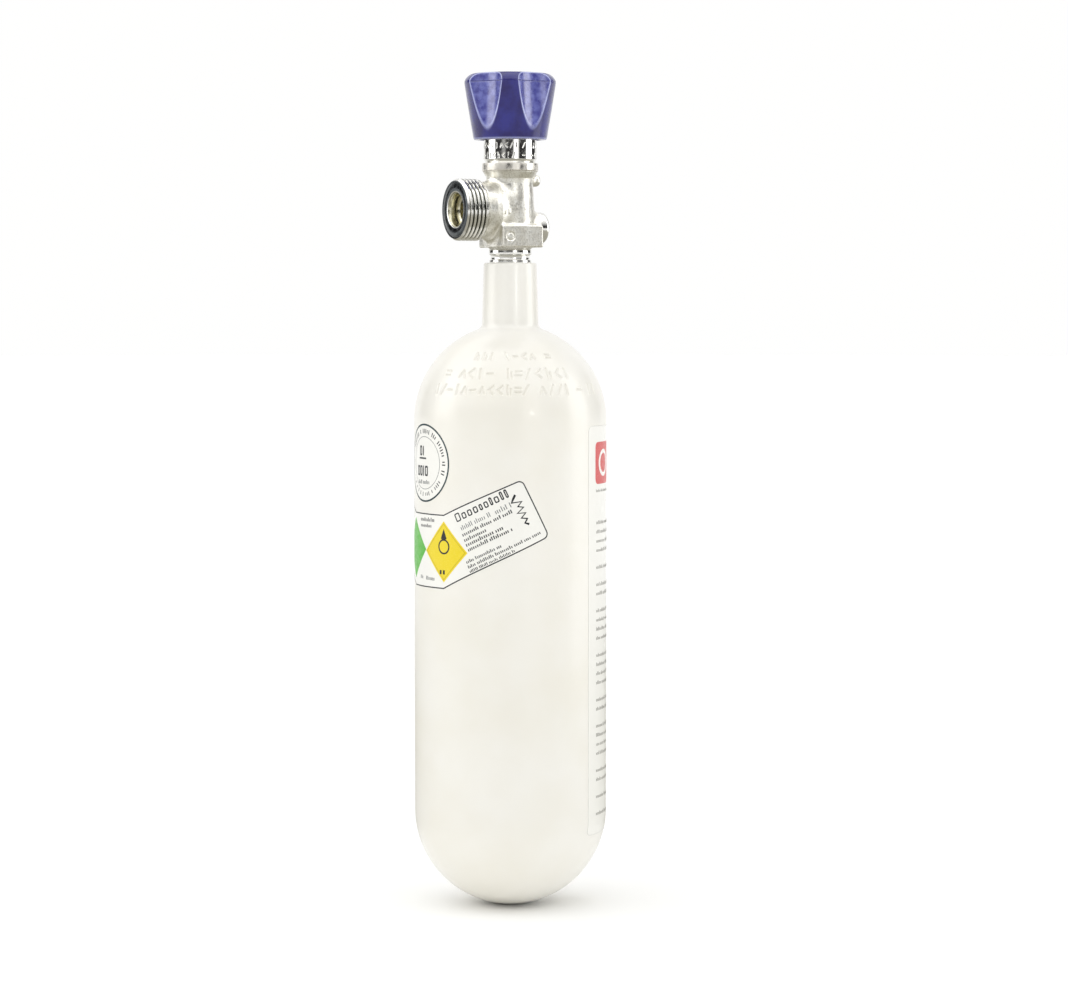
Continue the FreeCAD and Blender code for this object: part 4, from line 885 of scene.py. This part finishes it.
def wheel_outline():
    inside = [(WELL, WEB_TOP), (BUSH_HOLE, WEB_TOP), (BUSH_HOLE, HUB_BOTTOM), (HUB, HUB_BOTTOM),
              (HUB, HOLLOW_TOP), (HOLLOW, HOLLOW_TOP), (HOLLOW, WHEEL_BOTTOM + MOUTH_DEPTH),
              (MOUTH_OF_WHEEL, WHEEL_BOTTOM + MOUTH_DEPTH)]
    rim = [(MOUTH_OF_WHEEL, WHEEL_BOTTOM, 0.3), (RIM, WHEEL_BOTTOM, 0.6), (BROW, BROW_HEIGHT)]
    brow = arc((BROW, BROW_HEIGHT), CROWN_TURN, CROWN_ROUND, 12)
    return soften(inside + rim) + brow[1:] + crown(CROWN_TURN[0], WELL)[1:]


WHEEL_SECTION = Section(wheel_outline())


def flute_distance(x, y, z):
    """Hollow of one flute on +X: two round troughs that meet at the brow."""
    troughs = []
    for (low, near), (high, far) in zip(FLUTE_FLOOR, FLUTE_FLOOR[1:]):
        lean = Vector((far - near, high - low)).normalized()
        out, up = x - near - FLUTE_RADIUS, z - low
        along = out * lean.x + up * lean.y
        across = np.hypot(np.hypot(out - along * lean.x, up - along * lean.y), y)
        troughs.append(across - FLUTE_RADIUS)
    return np.minimum(*troughs)


def nearest_flute(p):
    """The points turned about the axis so that the nearest flute lies on +X."""
    radius = np.hypot(p[:, 0], p[:, 1])
    sector = 2 * math.pi / FLUTES
    turn = (np.arctan2(p[:, 1], p[:, 0]) - math.radians(FLUTE_PHASE) + sector / 2) % sector - sector / 2
    return radius * np.cos(turn), radius * np.sin(turn)


def wheel_distance(p):
    body = WHEEL_SECTION(np.hypot(p[:, 0], p[:, 1]), p[:, 2])
    x, y = nearest_flute(p)
    rib = np.maximum(np.maximum(np.abs(y) - 0.9, np.abs(x - (HUB + HOLLOW) / 2) - 2),
                     np.maximum(HUB_BOTTOM - p[:, 2], p[:, 2] - HOLLOW_TOP - 0.5))
    body = join(body, rib, 0.5)
    body = carve(body, flute_distance(x, y, p[:, 2]), FLUTE_EDGE)
    groove = np.hypot(p[:, 2] - BROW_HEIGHT, np.maximum(-0.05 - body, 0)) - PARTING_LINE
    return carve(body, groove, 0.2)


def flute_mask(p):
    x, y = nearest_flute(p)
    return np.clip((0.14 - flute_distance(x, y, p[:, 2])) / 0.12, 0, 1)


def rim_highlight_mask(p):
    """Painted highlight: a narrow pale line along the flutes' edges and round the lower rim."""
    x, y = nearest_flute(p)
    line = np.exp(-((flute_distance(x, y, p[:, 2]) - 0.06) / 0.12) ** 2)
    outside = WHEEL_SECTION(np.hypot(x, y), p[:, 2]) > -0.35
    # the painted highlight fades out towards the bottom of the flutes
    wear_and_highlight = np.interp(p[:, 2], [WHEEL_BOTTOM + 5, WHEEL_BOTTOM + 13], [0.25, 1.0])
    lower = np.exp(-((p[:, 2] - WHEEL_BOTTOM - 0.35) / 0.3) ** 2)
    return np.maximum(line * wear_and_highlight * outside * (np.hypot(x, y) > MOUTH_OF_WHEEL), 0.6 * lower)


def crown_mask(p):
    """The top of the knob, which is dull."""
    return np.clip((p[:, 2] - BROW_HEIGHT - 2.6) / 1.2, 0, 1)


def make_handwheel():
    low = (-BROW, -BROW, WHEEL_BOTTOM)
    high = (BROW, BROW, WHEEL_TOP)
    points, faces = net(wheel_distance, low, high, 0.26)
    # the flute and crown masks change the finish; the rim mask carries a painted highlight
    make_piece("handwheel_fluted", points, faces, [PLASTIC], "handwheel", ["handwheel"],
               crease=60, masks={"flute": flute_mask, "rim": rim_highlight_mask, "crown": crown_mask})
    edge = WELL - 0.04
    top = crown(edge - 0.35, 0)
    cap = [(0, CAP_LOW.z), (edge, CAP_LOW.z), (edge, top[0][1] - 0.25)] + top
    points, faces = lathe(cap, 96)
    make_piece("handwheel_cap_moulded", points, faces, [PLASTIC], "handwheel",
               ["handwheel_cap"], masks={"crown": crown_mask})


# ---- labels: film and ink wrapped round the barrel ----

FILM_LOW, FILM_HIGH = BARREL + 0.01, BARREL + 0.09
INK_HIGH = FILM_HIGH + 0.025
WRAP_STEP = 1.2                                  # longest straight stretch round the barrel


def on_bottle(around, height, radius):
    """Point at an arc length from the outlet's side towards +X; under the barrel it follows the dome."""
    drop = max(0.0, BARREL - height)
    reach = math.sqrt(radius * radius - drop * drop)
    angle = around / BARREL
    return Vector((reach * math.sin(angle), -reach * math.cos(angle), height))


class Page:
    """Flat coordinates (u along the print, v up) of a printed field on the barrel."""

    def __init__(self, around, height, slope=0.0):
        self.around, self.height = around, height
        self.cos, self.sin = math.cos(math.radians(slope)), math.sin(math.radians(slope))

    def at(self, u, v):
        return (self.around + u * self.cos - v * self.sin, self.height + u * self.sin + v * self.cos)

    def bar(self, u, v, width, height):
        """A solid bar whose lower left corner is at (u, v)."""
        return [[self.at(u, v), self.at(u + width, v), self.at(u + width, v + height),
                 self.at(u, v + height)]]

    def disc(self, u, v, radius, sides=40):
        turns = [2 * math.pi * k / sides for k in range(sides)]
        return [[self.at(u + radius * math.cos(t), v + radius * math.sin(t)) for t in turns]]

    def ring(self, u, v, radius, width, sides=96):
        """A ring as quads."""
        turns = [2 * math.pi * k / sides for k in range(sides + 1)]
        edge = [[self.at(u + (radius + side) * math.cos(t), v + (radius + side) * math.sin(t))
                 for side in (-width / 2, width / 2)] for t in turns]
        return [[a[0], a[1], b[1], b[0]] for a, b in zip(edge, edge[1:])]

    def boxed(self, u, v, width, height, line):
        """A hollow upright box, as a placeholder for a printed character."""
        inner, outer = rounded_box(width - 2 * line, height - 2 * line, 0.35), rounded_box(width, height, 0.6)
        middle = (u + width / 2, v + height / 2)
        inner = [self.at(middle[0] + x, middle[1] + y) for x, y in inner]
        outer = [self.at(middle[0] + x, middle[1] + y) for x, y in outer]
        return [[inner[k - 1], outer[k - 1], outer[k], inner[k]] for k in range(len(outer))]

    def text(self, u, v, length, height, draw, weight=0.3):
        """A line of print as short upright strokes in word-like groups; it spells nothing."""
        strokes, end = [], u + length
        while u < end:
            for _ in range(draw.randint(4, 14)):
                if u + weight * height > end:
                    break
                tall = height * draw.choice((0.7, 0.7, 0.62, 1.0))
                strokes += self.bar(u, v, weight * height, tall)
                u += (weight + draw.uniform(0.22, 0.34)) * height
            u += 0.42 * height
        return strokes


def rounded_box(width, height, rounding):
    return soften([(width / 2, -height / 2, rounding), (width / 2, height / 2, rounding),
                   (-width / 2, height / 2, rounding), (-width / 2, -height / 2, rounding)])


def band(outline, inset, width):
    """Line of some width that follows a closed outline at an inset, as quads."""
    count = len(outline)
    edges = [[], []]
    for k in range(count):
        here = Vector(outline[k])
        before, after = here - Vector(outline[k - 1]), Vector(outline[(k + 1) % count]) - here
        normal = (Vector((-before.y, before.x)).normalized() + Vector((-after.y, after.x)).normalized())
        normal /= max(0.3, normal.length_squared / 2)
        for edge, depth in zip(edges, (inset, inset + width)):
            edge.append(tuple(here + normal * depth))
    return [[edges[0][k - 1], edges[0][k], edges[1][k], edges[1][k - 1]] for k in range(count)]


def polyline(points, width):
    """Zigzag line of some width, as separate quads with overlapping ends joined by shared corners."""
    sides = []
    for k, here in enumerate(points):
        here = Vector(here)
        before = here - Vector(points[max(k - 1, 0)])
        after = Vector(points[min(k + 1, len(points) - 1)]) - here
        way = (before.normalized() if before.length else after.normalized()) \
            + (after.normalized() if after.length else before.normalized())
        way = way.normalized() if way.length > 0.3 else after.normalized()
        normal = Vector((-way.y, way.x)) * width / 2
        sides.append((tuple(here - normal), tuple(here + normal)))
    return [[a[0], b[0], b[1], a[1]] for a, b in zip(sides, sides[1:])]


def cut_strips(work):
    """Cuts a flat mesh of (around, height) points into strips short enough to bend round the bottle."""
    arounds = [vertex.co.x for vertex in work.verts]
    heights = [vertex.co.y for vertex in work.verts]
    cuts = [((k * WRAP_STEP, 0, 0), (1, 0, 0))
            for k in range(math.ceil(min(arounds) / WRAP_STEP), math.ceil(max(arounds) / WRAP_STEP))]
    cuts += [((0, z, 0), (0, 1, 0)) for z in np.arange(BARREL, min(heights), -1.0)]
    for place, normal in cuts:
        bmesh.ops.bisect_plane(work, geom=work.verts[:] + work.edges[:] + work.faces[:], dist=0.0001,
                               plane_co=place, plane_no=normal)


def wrap(name, patches, material, low=FILM_HIGH, high=INK_HIGH, node=None):
    """Thin solid round the bottle from flat patches of (around, height) corners."""
    work = bmesh.new()
    for patch in patches:
        work.faces.new([work.verts.new((x, y, 0)) for x, y in patch])
    bmesh.ops.remove_doubles(work, verts=work.verts, dist=0.001)
    cut_strips(work)
    bmesh.ops.triangulate(work, faces=work.faces)
    bmesh.ops.recalc_face_normals(work, faces=work.faces)
    flat = [(vertex.co.x, vertex.co.y) for vertex in work.verts]
    work.verts.index_update()
    facing = 1 if sum(face.normal.z * face.calc_area() for face in work.faces) > 0 else -1
    triangles = [[vertex.index for vertex in face.verts][::facing] for face in work.faces]
    rims = [[loop.vert.index, loop.link_loop_next.vert.index][::facing]
            for face in work.faces for loop in face.loops if len(loop.edge.link_faces) == 1]
    work.free()
    count = len(flat)
    points = [on_bottle(x, y, radius) for radius in (high, low) for x, y in flat]
    faces = triangles + [[k + count for k in triangle][::-1] for triangle in triangles]
    faces += [[b, a, a + count, b + count] for a, b in rims]
    piece = shown(new_mesh(name, points, faces, [material]), 40)
    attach(piece, "bottle")
    if node:
        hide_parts(node)
    return piece


def film(name, outline, node):
    wrap(name, [outline], FILM, FILM_LOW, FILM_HIGH, node)


WING_SLOPE = 25.6
DATA_SHIFT, DATA_FOLD = 2.2, 12.3                # middle of the data label, and its folds on both sides
DATA_CORNERS = ((DATA_FOLD, 140.0, 1.0), (60.4, 163.0, 2.6), (48.3, 187.5, 2.6), (DATA_FOLD, 171.8, 1.0))
WING_START, WING_LEVEL = 14.5, 140.2             # where the pages of the two wings begin
YELLOW_MIDDLE, GREEN_MIDDLE = (14.5, 155.9), (-10.1, 156.3)
DIAMOND = (12.3, 13.05)                          # half width and half height
# the heading's boxes, each a width and a height
HEADING_START, HEADING_LEVEL, HEADING_GAP, HEADING_LINE = 18.9, 22.6, 0.85, 0.5
HEADING_BOXES = ((2.5, 3.7), (2.1, 2.7), (2.1, 2.7), (2.1, 2.7), (1.5, 2.7), (1.9, 2.7), (1.3, 3.5),
                 (2.1, 2.7), (1.3, 3.8), (1.3, 3.8))
# lines of print on the wings, each u, v, length and height on the wing's page
RIGHT_LINES = ((19.0, 16.0, 24.5, 1.6), (18.8, 13.6, 11.0, 1.6), (18.7, 11.4, 18.5, 1.7),
               (18.7, 9.2, 21.5, 1.6), (15.7, 4.9, 17.0, 1.4), (15.6, 2.7, 35.5, 1.4),
               (15.5, 0.75, 21.5, 1.2))
LEFT_LINES = ((-44.0, 22.4, 25.0, 3.0), (-44.0, 18.0, 24.0, 1.8), (-44.0, 14.6, 22.0, 1.6),
              (-44.0, 12.0, 18.0, 1.6), (-44.0, 9.4, 20.0, 1.6), (-46.0, 4.8, 24.0, 1.4),
              (-46.0, 2.4, 28.0, 1.4))
# the zigzag's swings to the side, one for each step down
ZIGZAG_START, ZIGZAG_STEP, ZIGZAG_WIDTH = (46.4, 22.4), 1.25, 0.95
ZIGZAG = (0.9, -0.6, -1.9, 2.2, -0.2, 1.9, -1.6, 1.7, -0.9, 1.3, -0.4, 1.0)


def diamond(x, z):
    """Corners of a label diamond about its middle, from the lowest one anticlockwise."""
    return [(x, z - DIAMOND[1]), (x + DIAMOND[0], z), (x, z + DIAMOND[1]), (x - DIAMOND[0], z)]


def make_yellow_mark():
    """Plain mark on the yellow diamond: a ring, a wedge above it, two bars below and an inner line."""
    mark = Page(*YELLOW_MIDDLE)
    raised = INK_HIGH + 0.02
    shapes = mark.ring(0, 2.2, 2.9, 0.7, 60)
    shapes += [[mark.at(-1.7, 5.6), mark.at(0, 4.9), mark.at(1.7, 5.6), mark.at(0, 9.8)]]
    shapes += mark.bar(-2.4, -9.6, 1.1, 1.8) + mark.bar(-0.5, -9.6, 1.1, 1.8)
    wrap("data_label_yellow_mark", shapes, INK_DARK, INK_HIGH, raised)
    wrap("data_label_yellow_line", band(diamond(*YELLOW_MIDDLE), 0.7, 0.25), INK_OCHRE, INK_HIGH, raised)


def make_data_label():
    """Folded-ribbon label: two diamonds in the middle and lines of print on both wings."""
    right = [(x + DATA_SHIFT, z, r) for x, z, r in DATA_CORNERS]
    left = [(DATA_SHIFT - x, z, r) for x, z, r in reversed(DATA_CORNERS)]
    outline = soften(right + left, 6)
    film("data_label_film", outline, "data_label")
    wrap("data_label_border", band(outline, 0.1, 0.5), INK_DARK)
    draw = random.Random(3)
    print_lines, light_lines, bold = [], [], []

    right_wing = Page(WING_START, WING_LEVEL, WING_SLOPE)
    glyph = HEADING_START
    for width, tall in HEADING_BOXES:
        bold += right_wing.boxed(glyph, HEADING_LEVEL, width, tall, HEADING_LINE)
        glyph += width + HEADING_GAP
    light_lines += right_wing.text(19.6, 18.6, 15.0, 2.0, draw, 0.17)
    light_lines += right_wing.text(36.6, 18.4, 8.0, 2.2, draw, 0.16)
    for line in RIGHT_LINES:
        print_lines += right_wing.text(*line, draw)
    zigzag = [right_wing.at(ZIGZAG_START[0] + side, ZIGZAG_START[1] - ZIGZAG_STEP * k)
              for k, side in enumerate(ZIGZAG)]
    left_wing = Page(2 * DATA_SHIFT - WING_START, WING_LEVEL, -WING_SLOPE)
    for line in LEFT_LINES:
        print_lines += left_wing.text(*line, draw)
    level = Page(0, 0)
    print_lines += level.text(-2.8, 168.3, 12.0, 1.7, draw)
    print_lines += level.text(-2.8, 165.8, 10.0, 1.5, draw)
    light_lines += level.text(-3.0, 143.6, 3.0, 1.5, draw) + level.text(2.2, 143.3, 6.3, 1.7, draw)
    wrap("data_label_print", print_lines, INK_DARK)
    wrap("data_label_light_print", light_lines, INK_GREY)
    wrap("data_label_heading", bold, INK_DARK)
    wrap("data_label_zigzag", polyline(zigzag, ZIGZAG_WIDTH), INK_DARK)
    wrap("data_label_yellow_diamond", [diamond(*YELLOW_MIDDLE)], INK_YELLOW)
    wrap("data_label_green_diamond", [diamond(*GREEN_MIDDLE)], INK_GREEN)
    make_yellow_mark()


STICKER, STICKER_RADIUS = (0.9, 193.2), 16.8


def make_test_label():
    """Round label: a heavy outer ring, a thin inner ring, print between them and two lines in the middle."""
    page = Page(*STICKER)
    film("test_label_film", page.disc(0, 0, STICKER_RADIUS, 96)[0], "test_label")
    wrap("test_label_ring", page.ring(0, 0, STICKER_RADIUS - 0.45, 0.75, 120), INK_TEAL)
    wrap("test_label_inner_ring", page.ring(0, 0, 11.2, 0.22, 96), INK_GREY)
    draw = random.Random(8)
    marks, numbers, light = [], [], []
    turn = math.radians(150)
    while turn > math.radians(-20):
        marks += tilted_mark(turn, 13.6, 1.9 * draw.choice((0.75, 1.0)), 0.5)
        turn -= draw.choice((0.09, 0.09, 0.1, 0.2))
    turn = math.radians(220)
    while turn < math.radians(325):
        marks += tilted_mark(turn, 13.4, 1.8 * draw.choice((0.75, 1.0)), 0.45)
        turn += draw.choice((0.09, 0.1, 0.19))
    for u, width in ((-4.6, 2.2), (-1.6, 0.9)):
        numbers += page.boxed(u, 3.0, width, 4.3, 0.75)
    numbers += page.bar(-5.2, 1.6, 6.6, 0.7)
    for u, width in ((-7.2, 2.4), (-4.3, 2.2), (-1.4, 0.8), (0.4, 2.4)):
        numbers += page.boxed(u, -5.6, width, 4.4, 0.75) if width > 1 else page.bar(u, -5.6, width, 4.4)
    light += page.text(-6.0, -9.0, 10.5, 1.7, draw)
    wrap("test_label_print", marks, INK_DARK)
    wrap("test_label_blocks", numbers, INK_DARK)
    wrap("test_label_light_print", light, INK_GREY)


def tilted_mark(turn, radius, tall, wide):
    """An upright stroke on a circle round the sticker's middle, pointing outwards."""
    x = STICKER[0] + radius * math.cos(turn)
    z = STICKER[1] + radius * math.sin(turn)
    return Page(x, z, math.degrees(turn) - 90).bar(-wide / 2, -tall / 2, wide, tall)


SHEET_LEFT, SHEET_RIGHT, SHEET_LOW, SHEET_HIGH = 84.0, 176.8, 33.0, 209.0
PARAGRAPHS = (4, 1, 2, 4, 4, 2, 4, 2, 1, 1)      # lines in each paragraph of the instructions
MARK_MIDDLE, MARK_HALF = (98.6, 193.0), 9.0


def make_instruction_label():
    """Tall sheet round the rear: a red mark, a line under it and paragraphs of small print."""
    outline = soften([(SHEET_LEFT, SHEET_LOW, 2.5), (SHEET_RIGHT, SHEET_LOW, 2.5),
                      (SHEET_RIGHT, SHEET_HIGH, 2.5), (SHEET_LEFT, SHEET_HIGH, 2.5)])
    film("instruction_label_film", outline, "instruction_label")
    draw = random.Random(21)
    page = Page(0, 0)
    line_step, gap, height = 3.95, 4.6, 1.55
    level = 166.8
    lines = page.text(SHEET_LEFT + 6.2, 180.6, 17.5, 1.2, draw)
    for count in PARAGRAPHS:
        for number in range(count):
            length = 78.0 if number < count - 1 else draw.uniform(20, 70)
            lines += page.text(SHEET_LEFT + 6.6, level, length, height, draw)
            level -= line_step
        level -= gap - 1.2
    wrap("instruction_label_print", lines, INK_SOFT)
    plaque = [(x + MARK_MIDDLE[0], y + MARK_MIDDLE[1])
              for x, y in rounded_box(2 * MARK_HALF, 2 * MARK_HALF, 2.2)]
    hole = Page(*MARK_MIDDLE)
    wrap("instruction_label_mark", [plaque], INK_RED)
    wrap("instruction_label_mark_ring", hole.ring(0, 0, 5.0, 1.7, 72), FILM, INK_HIGH, INK_HIGH + 0.02)
    wrap("instruction_label_edge", band(outline, 0.05, 0.18), INK_PALE)


# ---- CAD nodes that keep their own shape ----

def finish_nodes():
    """Materials for the inner pieces, whose CAD shape is right."""
    finishes = {
        "dip_tube": BRASS, "gland_o_ring": RUBBER, "burst_disc": BRASS, "burst_gasket": SEAL,
        "handwheel_insert": BRASS, "handwheel_washer": STEEL, "handwheel_nut": STEEL, "spindle": BRASS,
        "spindle_o_rings": RUBBER, "spindle_washer": SEAL, "spindle_spring": STEEL, "seat_pad": SEAL,
        "seat_plug": BRASS,
    }
    for name, material in finishes.items():
        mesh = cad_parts[name].data
        mesh.materials.clear()
        mesh.materials.append(material)


# ---- room, light and camera ----

CAMERA_TURN = 62.8                               # camera's side of the bottle, from the outlet towards +X
CAMERA_AWAY, CAMERA_HEIGHT = 1400.0, 266.7
CAMERA_LENS, SENSOR = 109.15, 36.0
AIM_HEIGHT, AIM_ASIDE = 176.2, 10.26             # the point that the camera looks at
FILL, SKY = 0.62, 1.42                           # strength of the room's light and of the light above
LIGHT_AIM = 200.0                                # height on the axis that the softboxes face
REFLECTED_GAP = 0.035                            # what metal mirrors between the panels


def seen_from_camera(turn, away, height):
    """A place at an angle right of the camera's own side, at a distance from the axis."""
    angle = math.radians(CAMERA_TURN + turn)
    return Vector((away * math.sin(angle), -away * math.cos(angle), height)) * MM


def stand(data, place, aim):
    """A camera or light that looks from a place at a point."""
    thing = bpy.data.objects.new(data.name, data)
    bpy.context.scene.collection.objects.link(thing)
    thing.location = place
    thing.rotation_mode = "QUATERNION"
    thing.rotation_quaternion = (aim - thing.location).to_track_quat("-Z", "Y")
    return thing


def make_camera():
    data = bpy.data.cameras.new("camera")
    data.lens, data.sensor_width = CAMERA_LENS, SENSOR
    place = seen_from_camera(0, CAMERA_AWAY, CAMERA_HEIGHT)
    bpy.context.scene.camera = stand(data, place, seen_from_camera(90, AIM_ASIDE, AIM_HEIGHT))


def softbox(name, turn, away, height, width, tall, power):
    """A rectangular light that faces the bottle."""
    data = bpy.data.lights.new(name, "AREA")
    data.shape = "RECTANGLE"
    data.size, data.size_y = width * MM, tall * MM
    data.energy = power
    light = stand(data, seen_from_camera(turn, away, height), Vector((0, 0, LIGHT_AIM * MM)))
    light.visible_camera = False


PANELS = (                                       # panels seen in reflections: side, half width, strength
    (180, 42, 1.0), (-87, 18, 2.0), (-28, 8, 0.35), (26, 11, 1.5), (91, 16, 2.0),
)
PANEL_BLUR = 0.06                                # half the width of a panel's soft edge, in radians
ABOVE_START, ABOVE_FULL = 0.22, 0.62             # sines of the elevations where overhead light sets in
ROOM_COLOUR = (1.0, 1.0, 0.995, 1.0)
FLOOR_COLOUR, FLOOR_DIMMED = srgb(254, 254, 253), srgb(165, 162, 150)
FLOOR_REACH, FLOOR_SIDES = 12000.0, 96
UNDER_BOTTLE = (0.09, 0.2)                       # metres from the axis between which the dimming sets in
DIMMING_ENDS = (0.8, 1.7)                        # and fades out


def make_world():
    """White room. Reflections show it with dark gaps between white panels, and lighter overhead."""
    world = bpy.data.worlds.new("white_room")
    world.use_nodes = True
    nodes = Nodes(world.node_tree)
    way = nodes.add("SeparateXYZ", Vector=nodes.add("TexCoord", "Generated")).node.outputs
    side = nodes.math("ARCTAN2", way["Y"], way["X"])
    shine = 0.0
    for middle, half, strength in PANELS:
        place = math.radians(CAMERA_TURN - 90 + middle)
        turn = nodes.math("WRAP", nodes.math("SUBTRACT", side, place), -math.pi, math.pi)
        away = nodes.math("ABSOLUTE", turn)
        edge = math.radians(half)
        panel = nodes.add("MapRange", Value=away, From_Min=edge - PANEL_BLUR, From_Max=edge + PANEL_BLUR,
                          To_Min=strength, To_Max=0.0)
        shine = nodes.math("MAXIMUM", panel, shine)
    above = nodes.add("MapRange", Value=way["Z"], From_Min=ABOVE_START, From_Max=ABOVE_FULL)
    shine = nodes.math("MAXIMUM", shine, above)
    shine = nodes.math("MULTIPLY_ADD", shine, 1.0 - REFLECTED_GAP, REFLECTED_GAP)
    path = nodes.add("LightPath").node.outputs
    seen = nodes.math("MULTIPLY_ADD", path["Is Camera Ray"], 1.0 - FILL, FILL)
    plain = nodes.math("MULTIPLY", seen, nodes.math("SUBTRACT", 1.0, path["Is Glossy Ray"]))
    light = nodes.math("MULTIPLY_ADD", shine, path["Is Glossy Ray"], plain)
    background = world.node_tree.nodes["Background"].inputs
    nodes.feed(background["Strength"], light)
    nodes.feed(background["Color"], ROOM_COLOUR)
    bpy.context.scene.world = world


def make_floor():
    """Plain pale floor, round. Metal mirrors it darker, apart from what lies right under the bottle."""
    turns = [2 * math.pi * k / FLOOR_SIDES for k in range(FLOOR_SIDES)]
    rim = [(FLOOR_REACH * math.cos(t), FLOOR_REACH * math.sin(t), 0) for t in turns]
    surface = Finish("pale_floor", FLOOR_COLOUR, 0.7, Specular_IOR_Level=0.2)
    surface.put("Roughness", surface.ranged(surface.noise(60, 3), 0.6, 0.8))
    mirrored = surface.add("LightPath", "Is Glossy Ray")
    away = surface.add("VectorMath", "Value", [("operation", "LENGTH")], Vector=surface.place)
    under = surface.add("MapRange", Value=away, From_Min=UNDER_BOTTLE[0], From_Max=UNDER_BOTTLE[1])
    near = surface.add("MapRange", Value=away, From_Min=DIMMING_ENDS[0], From_Max=DIMMING_ENDS[1],
                       To_Min=under, To_Max=0.0)
    dimmed = surface.add("MapRange", Value=mirrored, To_Max=near)
    surface.put("Base_Color", surface.mixed(FLOOR_COLOUR, FLOOR_DIMMED, dimmed))
    mesh = new_mesh("floor", rim, [list(range(FLOOR_SIDES))], [surface.material])
    floor = bpy.data.objects.new("floor", mesh)
    bpy.context.scene.collection.objects.link(floor)


def make_sky():
    """Very soft light from above, a little to the left and towards the camera."""
    data = bpy.data.lights.new("sky", "SUN")
    data.energy, data.angle = SKY, math.radians(110)
    stand(data, seen_from_camera(-50, 350, 1000), Vector())


def make_lights():
    make_sky()
    softbox("left_box", -84, 900, 560, 420, 700, 0.5)
    softbox("front_lamp", 26, 1500, 460, 110, 70, 0.55)
    softbox("right_box", 91, 900, 330, 460, 1000, 1.5)


make_shell()
make_casting()
make_valve_ring()
make_stem()
make_outlet_thread()
make_insert()
make_safety_plug()
make_gland()
make_handwheel()
make_data_label()
make_test_label()
make_instruction_label()
finish_nodes()
make_floor()
make_world()
make_lights()
make_camera()
bpy.context.scene.view_settings.view_transform = "Standard"
